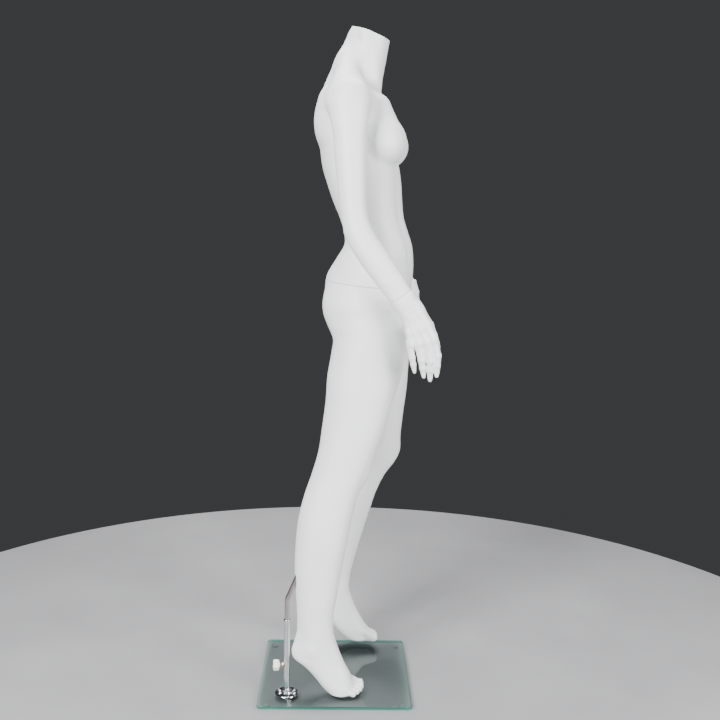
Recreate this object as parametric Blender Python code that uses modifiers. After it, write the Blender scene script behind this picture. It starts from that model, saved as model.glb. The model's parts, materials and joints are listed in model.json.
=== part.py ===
"""Headless female display mannequin on a glass base, held by a bent calf rod in a clamped support tube.

The body is a set of hollow shells that part at the waist, the left thigh, both shoulders and both wrists.
Every seam is closed by two bulkheads, and a twist lock (a spigot in a socket) joins them.
Heights in the body tables are measured from the top of the glass. X is forwards, +Y is the body's left.
"""

import math

import bmesh
import bpy
import numpy as np
from mathutils import Matrix, Vector

# ---- driving dimensions, in metres -------------------------------------------------------------
GLASS_SIDE = 0.380
GLASS_THICK = 0.008
GLASS_CORNER = 0.010
FOOT_HEIGHT = 0.003
GLASS_TOP = FOOT_HEIGHT + GLASS_THICK

BODY_CENTRE = Vector((0.060, 0.022, 0.0))
BODY_YAW = math.radians(-5.0)

STAND_X = -0.1195
STAND_Y = -0.122
ROD_RADIUS = 0.006
TUBE_RADIUS = 0.0075
TUBE_BORE = 0.0064
TUBE_TOP = 0.194
ROD_END = 0.030
BEND_HEIGHT = 0.246
ROD_LEAN = math.radians(23.0)
ROD_IN_CALF = 0.160
SCREW_HEIGHT = 0.074
FLANGE_RADIUS = 0.029
HUB_RADIUS = 0.0112
HUB_HEIGHT = 0.0120
BOLT_CIRCLE = 0.0195
BOLT_RADIUS = 0.0024
BOLT_HEAD = 0.0046
NUT_RADIUS = 0.0046
NUT_HEIGHT = 0.0045
STUD_RADIUS = 0.0028
STUD_HOLE = 0.0034
STUD_LENGTH = 0.029
KNOB_RADIUS = 0.0112
KNOB_SWELL = 0.0034
KNOB_THICK = 0.0150
FOOT_INSET = 0.022
FOOT_RADIUS = 0.007
SOCKET_RADIUS = 0.0080

WALL = 0.005
SEAM_GAP = 0.0005
CLEAR = 0.0004
TOUCH = 0.0003
SKIN_VOXEL = 0.0065
HAND_VOXEL = 0.0030
SKIN_TRIANGLES = 3300
ARM_TRIANGLES = 520
HAND_TRIANGLES = 700

# Each seam's bulkheads: half depth and half width of the end plate.
WAIST_SIZE = (0.0930, 0.1360)
LEG_SIZE = (0.0720, 0.0740)
SHOULDER_SIZE = (0.0400, 0.0400)
WRIST_SIZE = (0.0135, 0.0135)
PLATE_THICK = 0.005
PLATE_SEGMENTS = 28
PLATE_SEAT = SEAM_GAP / 2 + PLATE_THICK + TOUCH
WEB = 0.013
SHOULDER_CUT = 0.200
# Each twist lock's stem: radius, how far it reaches past the seam, and where its pin comes free.
WAIST_LOCK = (0.018, 0.026, math.radians(-60.0))
THIGH_LOCK = (0.014, 0.024, math.radians(-20.0))
SHOULDER_LOCK = (0.010, 0.022, math.radians(60.0))
WRIST_SPIGOT = (0.004, 0.016)
LOCK_STEPS = 20
PIN_RADIUS = 0.0025
PIN_REACH = 0.003
PIN_DEPTH = 0.007
SLEEVE_WALL = 0.006
SLEEVE_FLANGE = 0.005
FLANGE_THICK = 0.0025

WAIST_HEIGHT = 1.0185
WAIST_SLOPE = math.radians(-5.4)
NECK_TOP = Vector((0.068, 0.0, 1.618))
NECK_SLOPE = math.radians(19.8)
SHOULDER = Vector((0.027, 0.140, 1.447))
WRIST = Vector((0.159, 0.208, 1.003))
FOREARM_LEAN = math.radians(35.0)
LEG_SEAM = Vector((0.078, 0.030, 0.868))
LEG_SEAM_RISE = math.radians(24.0)
LEG_SEAM_REACH = 0.080
CROTCH_Y = 0.022
CROTCH_RELIEF = ((0.080, 0.0110, 0.0230), (0.088, 0.0181, 0.8545))

# ---- body sections: height, back, front, side, half width --------------------------------------
TRUNK = (
    (0.862, 0.030, 0.110, 0.000, 0.030),
    (0.880, -0.004, 0.140, 0.000, 0.100),
    (0.905, -0.020, 0.157, 0.000, 0.142),
    (0.935, -0.026, 0.167, 0.000, 0.160),
    (0.965, -0.034, 0.172, 0.000, 0.165),
    (1.000, -0.036, 0.176, 0.000, 0.159),
    (1.040, -0.031, 0.181, 0.000, 0.145),
    (1.080, -0.009, 0.181, 0.000, 0.126),
    (1.115, 0.010, 0.177, 0.000, 0.112),
    (1.145, 0.008, 0.167, 0.000, 0.108),
    (1.180, -0.003, 0.156, 0.000, 0.109),
    (1.220, -0.020, 0.151, 0.000, 0.114),
    (1.260, -0.034, 0.148, 0.000, 0.120),
    (1.300, -0.046, 0.142, 0.000, 0.125),
    (1.340, -0.053, 0.132, 0.000, 0.129),
    (1.380, -0.064, 0.127, 0.000, 0.132),
    (1.420, -0.066, 0.122, 0.000, 0.132),
    (1.450, -0.061, 0.112, 0.000, 0.127),
    (1.475, -0.052, 0.096, 0.000, 0.105),
    (1.495, -0.036, 0.072, 0.000, 0.060),
)
RIGHT_LEG = (
    (0.0005, 0.003, 0.056, -0.117, 0.026),
    (0.005, -0.010, 0.069, -0.117, 0.036),
    (0.018, -0.028, 0.074, -0.117, 0.040),
    (0.038, -0.045, 0.053, -0.117, 0.038),
    (0.056, -0.060, 0.036, -0.117, 0.034),
    (0.074, -0.079, 0.026, -0.117, 0.031),
    (0.092, -0.102, 0.018, -0.117, 0.030),
    (0.109, -0.108, 0.011, -0.117, 0.030),
    (0.135, -0.102, 0.002, -0.117, 0.031),
    (0.160, -0.096, -0.004, -0.117, 0.032),
    (0.190, -0.095, -0.006, -0.117, 0.032),
    (0.254, -0.098, 0.003, -0.116, 0.038),
    (0.318, -0.102, 0.013, -0.114, 0.045),
    (0.390, -0.100, 0.027, -0.109, 0.052),
    (0.449, -0.094, 0.037, -0.104, 0.054),
    (0.506, -0.080, 0.051, -0.099, 0.053),
    (0.560, -0.062, 0.076, -0.095, 0.053),
    (0.614, -0.047, 0.094, -0.091, 0.057),
    (0.671, -0.039, 0.115, -0.085, 0.064),
    (0.737, -0.031, 0.132, -0.078, 0.071),
    (0.800, -0.027, 0.153, -0.072, 0.077),
    (0.850, -0.019, 0.166, -0.067, 0.082),
    (0.885, -0.014, 0.170, -0.064, 0.084),
    (0.930, -0.010, 0.165, -0.060, 0.082),
    (0.960, 0.010, 0.150, -0.055, 0.070),
)
LEFT_LEG = (
    (0.007, 0.046, 0.098, 0.166, 0.026),
    (0.012, 0.032, 0.111, 0.166, 0.036),
    (0.025, 0.014, 0.117, 0.166, 0.040),
    (0.045, -0.002, 0.098, 0.165, 0.038),
    (0.063, -0.017, 0.076, 0.164, 0.034),
    (0.081, -0.036, 0.067, 0.162, 0.031),
    (0.099, -0.058, 0.059, 0.161, 0.030),
    (0.116, -0.065, 0.052, 0.160, 0.030),
    (0.142, -0.059, 0.042, 0.160, 0.031),
    (0.167, -0.055, 0.036, 0.160, 0.032),
    (0.197, -0.054, 0.037, 0.160, 0.032),
    (0.254, -0.051, 0.049, 0.159, 0.038),
    (0.318, -0.049, 0.066, 0.157, 0.045),
    (0.390, -0.043, 0.087, 0.153, 0.052),
    (0.449, -0.030, 0.105, 0.149, 0.054),
    (0.500, -0.008, 0.129, 0.145, 0.053),
    (0.532, 0.010, 0.153, 0.142, 0.053),
    (0.565, 0.022, 0.163, 0.140, 0.054),
    (0.614, 0.022, 0.167, 0.136, 0.058),
    (0.671, 0.018, 0.172, 0.131, 0.064),
    (0.737, 0.012, 0.179, 0.124, 0.071),
    (0.800, 0.003, 0.182, 0.118, 0.077),
    (0.850, -0.004, 0.184, 0.113, 0.082),
    (0.885, -0.008, 0.183, 0.109, 0.084),
    (0.930, -0.004, 0.174, 0.104, 0.082),
    (0.960, 0.014, 0.155, 0.099, 0.070),
)
ARM = (
    (0.975, 0.150, 0.204, 0.209, 0.019),
    (0.988, 0.136, 0.197, 0.209, 0.020),
    (1.012, 0.115, 0.184, 0.208, 0.022),
    (1.037, 0.095, 0.169, 0.207, 0.025),
    (1.063, 0.074, 0.152, 0.204, 0.028),
    (1.088, 0.056, 0.135, 0.202, 0.030),
    (1.112, 0.041, 0.119, 0.200, 0.031),
    (1.136, 0.030, 0.102, 0.198, 0.031),
    (1.165, 0.022, 0.086, 0.195, 0.030),
    (1.197, 0.015, 0.077, 0.192, 0.030),
    (1.233, 0.010, 0.074, 0.189, 0.031),
    (1.280, 0.005, 0.072, 0.185, 0.033),
    (1.328, -0.001, 0.071, 0.181, 0.035),
    (1.371, -0.005, 0.073, 0.176, 0.037),
    (1.405, -0.014, 0.077, 0.167, 0.040),
    (1.440, -0.020, 0.077, 0.158, 0.043),
    (1.470, -0.008, 0.066, 0.147, 0.034),
)
# ---- the shoulder's yoke: forward, to the side, height, radius, from the neck to the arm's end -
YOKE = ((0.018, 0.045, 1.480, 0.0480), (0.027, 0.152, 1.444, 0.0497))
# ---- hands: along the hand, towards the thumb, away from the palm, radius ----------------------
PALM = (
    ((-0.012, -0.010, 0.000, 0.0165), (-0.008, 0.010, 0.000, 0.0165)),
    ((0.020, -0.002, 0.000, 0.0150), (0.014, 0.014, 0.000, 0.0150)),
    ((0.050, 0.002, 0.001, 0.0135), (0.045, 0.025, -0.001, 0.0140)),
    ((0.085, -0.006, 0.001, 0.0115), (0.082, 0.033, 0.001, 0.0120)),
    ((0.112, -0.013, 0.001, 0.0095), (0.118, 0.038, 0.001, 0.0105)),
)
FINGERS = {
    "index": ((0.112, 0.039, 0.001, 0.0100), (0.160, 0.035, -0.002, 0.0085), (0.201, 0.020, -0.012, 0.0070)),
    "middle": ((0.114, 0.021, 0.002, 0.0100), (0.168, 0.015, -0.003, 0.0085), (0.206, 0.002, -0.014, 0.0070)),
    "ring": ((0.112, 0.002, 0.002, 0.0095), (0.158, -0.003, -0.003, 0.0082), (0.193, -0.010, -0.013, 0.0067)),
    "little": ((0.106, -0.016, 0.001, 0.0085), (0.145, -0.022, -0.003, 0.0073), (0.175, -0.027, -0.011, 0.0060)),
    "thumb": ((0.030, 0.024, -0.006, 0.0140), (0.085, 0.038, -0.022, 0.0110), (0.134, 0.041, -0.034, 0.0080)),
}
HAND_LEAN = {"right": math.radians(20.2), "left": math.radians(-4.0)}

# ---- collections and materials -----------------------------------------------------------------
PARTS = None
CUTTERS = None
CARRIERS = {}
MATERIALS = {
    "skin": ((0.88, 0.88, 0.89), 0.55, 0.0),
    "bulkhead": ((0.72, 0.66, 0.55), 0.70, 0.0),
    "chrome": ((0.80, 0.80, 0.82), 0.12, 1.0),
    "steel": ((0.55, 0.55, 0.57), 0.35, 1.0),
    "glass": ((0.72, 0.86, 0.82), 0.05, 0.0),
    "knob": ((0.86, 0.85, 0.80), 0.40, 0.0),
    "rubber": ((0.80, 0.82, 0.82), 0.60, 0.0),
}


def start_scene():
    """Empties the scene and makes the collections for the parts and for the shapes they are cut with."""
    global PARTS, CUTTERS
    for obj in list(bpy.data.objects):
        bpy.data.objects.remove(obj, do_unlink=True)
    PARTS = bpy.data.collections.new("full_body_mannequin")
    CUTTERS = bpy.data.collections.new("cutters")
    bpy.context.scene.collection.children.link(PARTS)
    bpy.context.scene.collection.children.link(CUTTERS)


def carrier(name, frame=None, holder=None):
    """An empty on a joint's axis, which carries that joint's parts and hangs from the one that holds it."""
    frame = frame or Matrix.Identity(4)
    empty = bpy.data.objects.new(name, None)
    empty.empty_display_size = 0.03
    PARTS.objects.link(empty)
    if holder:
        above, held = CARRIERS[holder]
        empty.parent = above
        empty.matrix_basis = held.inverted() @ frame
    CARRIERS[name] = (empty, frame)


def material(name):
    """The named Principled material, made the first time it is asked for."""
    found = bpy.data.materials.get(name)
    if found:
        return found
    colour, roughness, metallic = MATERIALS[name]
    made = bpy.data.materials.new(name)
    made.use_nodes = True
    shader = made.node_tree.nodes["Principled BSDF"]
    shader.inputs["Base Color"].default_value = (*colour, 1.0)
    shader.inputs["Roughness"].default_value = roughness
    shader.inputs["Metallic"].default_value = metallic
    return made


# ---- mesh helpers ------------------------------------------------------------------------------
def object_from(bm, name):
    """An unlinked-from-the-result helper object that holds the bmesh."""
    bmesh.ops.recalc_face_normals(bm, faces=bm.faces)
    mesh = bpy.data.meshes.new(name)
    bm.to_mesh(mesh)
    bm.free()
    obj = bpy.data.objects.new(name, mesh)
    obj.hide_render = True
    obj.display_type = "WIRE"
    CUTTERS.objects.link(obj)
    return obj


def add_modifier(obj, kind, **settings):
    """One modifier with its settings."""
    modifier = obj.modifiers.new(kind.title(), kind)
    for key, value in settings.items():
        setattr(modifier, key, value)
    return modifier


def apply_modifiers(obj):
    """The evaluated mesh takes the place of the object's own, and the modifiers go."""
    graph = bpy.context.evaluated_depsgraph_get()
    mesh = bpy.data.meshes.new_from_object(obj.evaluated_get(graph))
    obj.modifiers.clear()
    obj.data = mesh
    return obj


def boolean(obj, operation, *others):
    """Joins with, cuts by or keeps the common part with each of the others, exactly."""
    for other in others:
        add_modifier(obj, "BOOLEAN", operation=operation, object=other, solver="EXACT")
        apply_modifiers(obj)
    return obj


def part(obj, name, slot, axis="mannequin_origin", smooth_angle=40.0):
    """Makes a helper object a named part of the mannequin, carried by the empty on its joint's axis."""
    empty, frame = CARRIERS[axis]
    CUTTERS.objects.unlink(obj)
    PARTS.objects.link(obj)
    obj.name = name
    obj.hide_render = False
    obj.display_type = "TEXTURED"
    obj.data.materials.clear()
    obj.data.materials.append(material(slot))
    obj.data.shade_smooth()
    obj.data.set_sharp_from_angle(angle=math.radians(smooth_angle))
    obj.data.transform(frame.inverted())
    obj.data.update()
    obj.parent = empty
    return obj


def copy_of(obj):
    """A helper object with its own copy of the mesh."""
    copy = obj.copy()
    copy.data = obj.data.copy()
    CUTTERS.objects.link(copy)
    return copy


def bake(obj, matrix):
    """Moves the mesh itself, so that later cuts happen in the common frame."""
    obj.data.transform(matrix)
    if matrix.determinant() < 0:
        obj.data.flip_normals()
    return obj


def frame_at(point, direction, towards=(1.0, 0.0, 0.0)):
    """A matrix at point whose Z runs along direction and whose X leans towards the given way."""
    z_axis = Vector(direction).normalized()
    y_axis = z_axis.cross(Vector(towards)).normalized()
    x_axis = y_axis.cross(z_axis)
    turn = Matrix((x_axis, y_axis, z_axis)).transposed().to_4x4()
    return Matrix.Translation(point) @ turn


def box(size, centre):
    """A box with its own size along each axis."""
    bm = bmesh.new()
    bmesh.ops.create_cube(bm, size=1.0, matrix=Matrix.Translation(centre) @ Matrix.Diagonal((*size, 1.0)))
    return object_from(bm, "box")


def cylinder(radius, bottom, top, segments=24, radius_y=None):
    """An upright cylinder between two heights, elliptical when radius_y is given."""
    bm = bmesh.new()
    bmesh.ops.create_cone(
        bm,
        cap_ends=True,
        segments=segments,
        radius1=1.0,
        radius2=1.0,
        depth=1.0,
        matrix=Matrix.Translation((0.0, 0.0, (bottom + top) / 2))
        @ Matrix.Diagonal((radius, radius_y or radius, top - bottom, 1.0)),
    )
    return object_from(bm, "cylinder")


def turned(profile, steps=24):
    """A solid of revolution about Z. The profile's (radius, height) points run round the section."""
    bm = bmesh.new()
    points = [bm.verts.new((radius, 0.0, height)) for radius, height in profile]
    for start, end in zip(points, points[1:] + points[:1]):
        if start.co.x or end.co.x:
            bm.edges.new((start, end))
    mesh = bpy.data.meshes.new("turned")
    bm.to_mesh(mesh)
    bm.free()
    obj = bpy.data.objects.new("turned", mesh)
    obj.hide_render = True
    obj.display_type = "WIRE"
    CUTTERS.objects.link(obj)
    add_modifier(
        obj, "SCREW", steps=steps, render_steps=steps, use_merge_vertices=True, merge_threshold=0.00001
    )
    apply_modifiers(obj)
    bm = bmesh.new()
    bm.from_mesh(obj.data)
    bmesh.ops.dissolve_degenerate(bm, edges=bm.edges, dist=1e-7)
    bmesh.ops.recalc_face_normals(bm, faces=bm.faces)
    bm.to_mesh(obj.data)
    bm.free()
    return obj


def ball(centre, radii, segments=24, rings=14):
    """An ellipsoid."""
    bm = bmesh.new()
    bmesh.ops.create_uvsphere(
        bm,
        u_segments=segments,
        v_segments=rings,
        radius=1.0,
        matrix=Matrix.Translation(centre) @ Matrix.Diagonal((*radii, 1.0)),
    )
    return object_from(bm, "ball")


def mesh_of(curve):
    """A helper object with a curve's evaluated mesh, its caps welded on."""
    obj = bpy.data.objects.new("curve", curve)
    CUTTERS.objects.link(obj)
    bpy.context.view_layer.update()
    mesh = bpy.data.meshes.new_from_object(obj.evaluated_get(bpy.context.evaluated_depsgraph_get()))
    bpy.data.objects.remove(obj)
    bm = bmesh.new()
    bm.from_mesh(mesh)
    bmesh.ops.remove_doubles(bm, verts=bm.verts, dist=1e-6)
    return object_from(bm, curve.name)


def capsule(*ends, segments=18, rings=10):
    """The convex hull of balls, each given as (x, y, z, radius): a rounded cone or a rounded slab."""
    bm = bmesh.new()
    for x, y, z, radius in ends:
        place = Matrix.Translation((x, y, z))
        bmesh.ops.create_uvsphere(bm, u_segments=segments, v_segments=rings, radius=radius, matrix=place)
    bmesh.ops.delete(bm, geom=bm.edges[:] + bm.faces[:], context="EDGES_FACES")
    bmesh.ops.convex_hull(bm, input=bm.verts)
    inside = [vert for vert in bm.verts if not vert.link_faces]
    bmesh.ops.delete(bm, geom=inside, context="VERTS")
    return object_from(bm, "capsule")


def spline(table, height):
    """The section at a height, on a cubic through the table's rows."""
    rows = np.array(table)
    heights = rows[:, 0]
    slopes = np.gradient(rows, heights, axis=0)
    i = int(np.clip(np.searchsorted(heights, height) - 1, 0, len(rows) - 2))
    span = heights[i + 1] - heights[i]
    t = (height - heights[i]) / span
    start = (2 * t**3 - 3 * t**2 + 1) * rows[i] + (t**3 - 2 * t**2 + t) * span * slopes[i]
    end = (3 * t**2 - 2 * t**3) * rows[i + 1] + (t**3 - t**2) * span * slopes[i + 1]
    return start + end


def loft(table, inset=0.0, low=None, high=None, step=0.02, segments=28, squareness=2.2):
    """A closed body through rounded sections, shrunk by inset all round, between two heights."""
    low = table[0][0] if low is None else low
    high = table[-1][0] if high is None else high
    levels = [row[0] for row in table if low < row[0] < high]
    levels += list(np.arange(low, high, step)) + [high]
    levels = sorted(levels)
    levels = [h for h, after in zip(levels, levels[1:]) if after - h > step / 3] + [high]
    bm = bmesh.new()
    rings = []
    for level in levels:
        _, back, front, side, half_width = spline(table, level)
        ring = []
        for k in range(segments):
            angle = 2 * math.pi * k / segments
            across = math.copysign(abs(math.cos(angle)) ** (2 / squareness), math.cos(angle))
            along = math.copysign(abs(math.sin(angle)) ** (2 / squareness), math.sin(angle))
            x = (front + back) / 2 + across * max((front - back) / 2 - inset, 0.004)
            y = side + along * max(half_width - inset, 0.004)
            ring.append(bm.verts.new((x, y, level)))
        rings.append(ring)
    for lower, upper in zip(rings, rings[1:]):
        for k in range(segments):
            after = (k + 1) % segments
            bm.faces.new((lower[k], lower[after], upper[after], upper[k]))
    bm.faces.new(rings[0])
    bm.faces.new(rings[-1])
    return object_from(bm, "loft")


def fused(pieces, voxel, smoothing, triangles):
    """Overlapping bodies made one skin: remeshed on voxels, smoothed and thinned out."""
    bm = bmesh.new()
    for piece in pieces:
        bm.from_mesh(piece.data)
    obj = object_from(bm, "fused")
    add_modifier(obj, "REMESH", mode="VOXEL", voxel_size=voxel)
    add_modifier(obj, "SMOOTH", factor=0.5, iterations=smoothing)
    apply_modifiers(obj)
    add_modifier(obj, "TRIANGULATE")
    apply_modifiers(obj)
    ratio = min(1.0, triangles / len(obj.data.polygons))
    add_modifier(obj, "DECIMATE", decimate_type="COLLAPSE", ratio=ratio, use_collapse_triangulate=True)
    return apply_modifiers(obj)


def half_space(frame, gap=SEAM_GAP / 2, size=1.2):
    """A big box on the +Z side of a frame, set back by half the seam's gap."""
    obj = box((size, size, size), (0.0, 0.0, size / 2 + gap))
    return bake(obj, frame)


# ---- where the body is, and its seams ----------------------------------------------------------
def body_matrix():
    """From the upright body's own frame to the part's, before the glass is added."""
    turn = Matrix.Rotation(BODY_YAW, 4, "Z")
    return Matrix.Translation(BODY_CENTRE) @ turn @ Matrix.Translation((-BODY_CENTRE.x, 0.0, 0.0))


def side_sign(side):
    """-1 for the body's right and +1 for its left."""
    return {"right": -1.0, "left": 1.0}[side]


def lifted(frame):
    """A frame given from the top of the glass, moved to the part's own heights."""
    return Matrix.Translation((0.0, 0.0, GLASS_TOP)) @ frame


def waist_frame():
    """At the waist seam's middle, with Z up through the torso."""
    normal = (-math.sin(WAIST_SLOPE), 0.0, math.cos(WAIST_SLOPE))
    return lifted(body_matrix() @ frame_at((0.070, 0.0, WAIST_HEIGHT), normal))


def neck_frame():
    """At the middle of the neck's cut, with Z out of it."""
    return lifted(body_matrix() @ frame_at(NECK_TOP, (math.sin(NECK_SLOPE), 0.0, math.cos(NECK_SLOPE))))


def shoulder_frame(side):
    """At the shoulder seam's centre, with Z from the torso out into the arm."""
    sign = side_sign(side)
    point = (SHOULDER.x, sign * SHOULDER.y, SHOULDER.z)
    return lifted(body_matrix() @ frame_at(point, (0.0, sign, 0.0)))


def wrist_frame(side):
    """At the wrist seam's centre, with Z up the forearm."""
    normal = (-math.sin(FOREARM_LEAN), 0.0, math.cos(FOREARM_LEAN))
    point = (WRIST.x, side_sign(side) * WRIST.y, WRIST.z)
    return lifted(body_matrix() @ frame_at(point, normal))


def leg_seam_frame():
    """At the middle of the left thigh's slanting seam, with Z up into the pelvis."""
    along = Vector((0.0, math.cos(LEG_SEAM_RISE), math.sin(LEG_SEAM_RISE)))
    normal = Vector((0.0, -math.sin(LEG_SEAM_RISE), math.cos(LEG_SEAM_RISE)))
    return lifted(frame_at(LEG_SEAM + LEG_SEAM_REACH * along, normal))


def rod_frame():
    """At the rod's bend, with Z up the sloping length that enters the calf."""
    direction = (math.sin(ROD_LEAN), 0.0, math.cos(ROD_LEAN))
    return lifted(frame_at((STAND_X, STAND_Y, BEND_HEIGHT), direction))


def screw_frame():
    """On the tube's axis at the clamp, with Z out through the boss to the knob, away from the body."""
    return lifted(frame_at((STAND_X, STAND_Y, SCREW_HEIGHT), (-1.0, 0.0, 0.0), (0.0, 0.0, 1.0)))


def make_carriers():
    """The tree of empties: the base, and one on the axis of each joint."""
    carrier("mannequin_origin")
    carrier("clamp_axis", screw_frame(), "mannequin_origin")
    carrier("rod_axis", Matrix.Translation((STAND_X, STAND_Y, GLASS_TOP)), "mannequin_origin")
    carrier("calf_axis", rod_frame(), "rod_axis")
    carrier("thigh_axis", leg_seam_frame(), "calf_axis")
    carrier("waist_axis", waist_frame(), "calf_axis")
    for side in ("right", "left"):
        carrier(f"{side}_shoulder_axis", shoulder_frame(side), "waist_axis")
        carrier(f"{side}_wrist_axis", wrist_frame(side), f"{side}_shoulder_axis")


# ---- the shells --------------------------------------------------------------------------------
def trunk_forms():
    """The overlapping forms of the trunk, in the body's own frame."""
    forms = [loft(TRUNK, step=0.012, segments=40)]
    forms.append(capsule((0.042, 0.0, 1.480, 0.049), (0.080, 0.0, 1.680, 0.0465)))
    forms.append(capsule((0.042, 0.0, 1.585, 0.036), (-0.004, 0.0, 1.465, 0.056)))
    for sign in (-1.0, 1.0):
        forms.append(capsule(*((x, sign * y, z, radius) for x, y, z, radius in YOKE)))
        forms.append(capsule((0.080, sign * 0.062, 1.432, 0.046), (0.106, sign * 0.073, 1.356, 0.057)))
        forms.append(ball((0.040, sign * 0.074, 0.968), (0.079, 0.080, 0.078)))
    for form in forms:
        bake(form, body_matrix())
    return forms


def trunk_and_legs():
    """One skin over the trunk and both legs, in the part's frame, before it is split."""
    forms = trunk_forms() + [loft(RIGHT_LEG, step=0.012), loft(LEFT_LEG, step=0.012)]
    return bake(fused(forms, SKIN_VOXEL, 6, SKIN_TRIANGLES), lifted(Matrix.Identity(4)))


def cavities():
    """The hollow inside the trunk and the legs, with a web left across it at the waist and the thigh."""
    trunk = bake(loft(TRUNK, WALL + 0.002, 0.900, 1.470, 0.06, 18), lifted(body_matrix()))
    right = bake(loft(RIGHT_LEG, WALL + 0.001, 0.175, 0.945, 0.09, 12), lifted(Matrix.Identity(4)))
    left = bake(loft(LEFT_LEG, WALL + 0.001, 0.182, 0.945, 0.09, 12), lifted(Matrix.Identity(4)))
    waist_web = bake(cylinder(2 * max(WAIST_SIZE), -WEB, WEB, 12), waist_frame())
    thigh_web = bake(cylinder(1.5 * max(LEG_SIZE), -WEB, WEB, 12), leg_seam_frame())
    boolean(trunk, "DIFFERENCE", waist_web, thigh_web)
    boolean(left, "DIFFERENCE", thigh_web)
    return trunk, right, left


def leg_wedge(gap):
    """What the left leg is cut out with: below its slanting seam and left of the crotch."""
    below = leg_seam_frame() @ Matrix.Rotation(math.pi, 4, "X")
    wedge = half_space(below, gap)
    return boolean(wedge, "INTERSECT", box((1.0, 1.0, 2.0), (0.0, CROTCH_Y + 0.5 + gap, 0.9)))


def counterbore(obj, frame, size, depth, above):
    """Opens the shell's end for a bulkhead of that size, on one side of a seam."""
    low, high = (-0.002, depth) if above else (-depth, 0.002)
    cutter = cylinder(size[0] + CLEAR, low, high, PLATE_SEGMENTS, size[1] + CLEAR)
    return boolean(obj, "DIFFERENCE", bake(cutter, frame))


def seat(obj, frame, size, lock, above):
    """A seat for a bulkhead on the shell's web, and the hole through the web for its half of the lock."""
    radius = lock[0] + CLEAR + SLEEVE_WALL + SLEEVE_FLANGE if above else 1.8 * lock[0]
    counterbore(obj, frame, size, PLATE_SEAT, above)
    return counterbore(obj, frame, (radius + 0.0015, radius + 0.0015), WEB + 0.003, above)


def arm_skin(side):
    """One arm from shoulder to wrist, in the part's frame, before it is cut at its seams."""
    forms = [loft(ARM, step=0.012, segments=24), capsule(*YOKE)]
    skin = bake(fused(forms, 0.005, 5, ARM_TRIANGLES), Matrix.Diagonal((1.0, side_sign(side), 1.0, 1.0)))
    return bake(skin, lifted(body_matrix()))


def arm_hollow(side):
    """The hollow inside an arm."""
    hollow = bake(
        loft(ARM, WALL + 0.003, 0.985, 1.415, 0.045, 10), Matrix.Diagonal((1.0, side_sign(side), 1.0, 1.0))
    )
    return bake(hollow, lifted(body_matrix()))


def hand_matrix(side):
    """From a hand's own frame, where X runs along it, Y to the thumb and Z out of its back."""
    sign = side_sign(side)
    lean = HAND_LEAN[side]
    along = Vector((math.sin(lean), 0.0, -math.cos(lean)))
    thumb = Vector((math.cos(lean), 0.0, math.sin(lean)))
    back = Vector((0.0, sign, 0.0))
    turn = Matrix((along, thumb, back)).transposed().to_4x4()
    point = (WRIST.x, sign * WRIST.y, WRIST.z)
    return lifted(body_matrix() @ Matrix.Translation(point) @ turn)


def hand_skin(side):
    """Palm, fingers and thumb made one, with the wrist end running past the seam."""
    forms = [capsule(*near, *far) for near, far in zip(PALM, PALM[1:])]
    forearm = hand_matrix(side).inverted() @ wrist_frame(side)
    up, down = forearm @ Vector((0.0, 0.0, 0.012)), forearm @ Vector((0.0, 0.0, -0.022))
    across = forearm.to_3x3() @ Vector((0.0105, 0.0, 0.0))
    forms.append(capsule(*((*(end + way * across), 0.0175) for end in (up, down) for way in (-1, 1))))
    for joints in FINGERS.values():
        forms += [capsule(near, far, segments=12, rings=8) for near, far in zip(joints, joints[1:])]
    return bake(fused(forms, HAND_VOXEL, 2, HAND_TRIANGLES), hand_matrix(side))


def make_trunk_and_legs():
    """The torso, the lower body with its fixed right leg, and the left leg that comes off."""
    skin = trunk_and_legs()
    boolean(skin, "DIFFERENCE", *cavities())
    waist = waist_frame()
    torso = boolean(copy_of(skin), "INTERSECT", half_space(waist))
    boolean(torso, "DIFFERENCE", half_space(neck_frame(), 0.0))
    for side in ("right", "left"):
        outside = half_space(shoulder_frame(side), -SEAM_GAP / 2, 2 * SHOULDER_CUT)
        boolean(torso, "DIFFERENCE", outside)
        counterbore(torso, shoulder_frame(side), SHOULDER_SIZE, 0.030, above=False)
    seat(torso, waist, WAIST_SIZE, WAIST_LOCK, above=True)

    lower = boolean(copy_of(skin), "DIFFERENCE", half_space(waist, -SEAM_GAP / 2))
    left_leg = boolean(copy_of(lower), "INTERSECT", leg_wedge(SEAM_GAP / 2))
    boolean(lower, "DIFFERENCE", leg_wedge(-SEAM_GAP / 2))
    boolean(lower, "DIFFERENCE", bake(box(*CROTCH_RELIEF), lifted(Matrix.Identity(4))))
    seat(lower, waist, WAIST_SIZE, WAIST_LOCK, above=False)
    seat(lower, leg_seam_frame(), LEG_SIZE, THIGH_LOCK, above=True)
    seat(left_leg, leg_seam_frame(), LEG_SIZE, THIGH_LOCK, above=False)
    entry = bake(cylinder(SOCKET_RADIUS + 0.0006, 0.0, ROD_IN_CALF + 0.012), rod_frame())
    boolean(lower, "DIFFERENCE", entry)
    part(torso, "torso_shell", "skin", "waist_axis")
    part(lower, "pelvis_and_right_leg_shell", "skin", "calf_axis")
    part(left_leg, "left_leg_shell", "skin", "thigh_axis")


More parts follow.
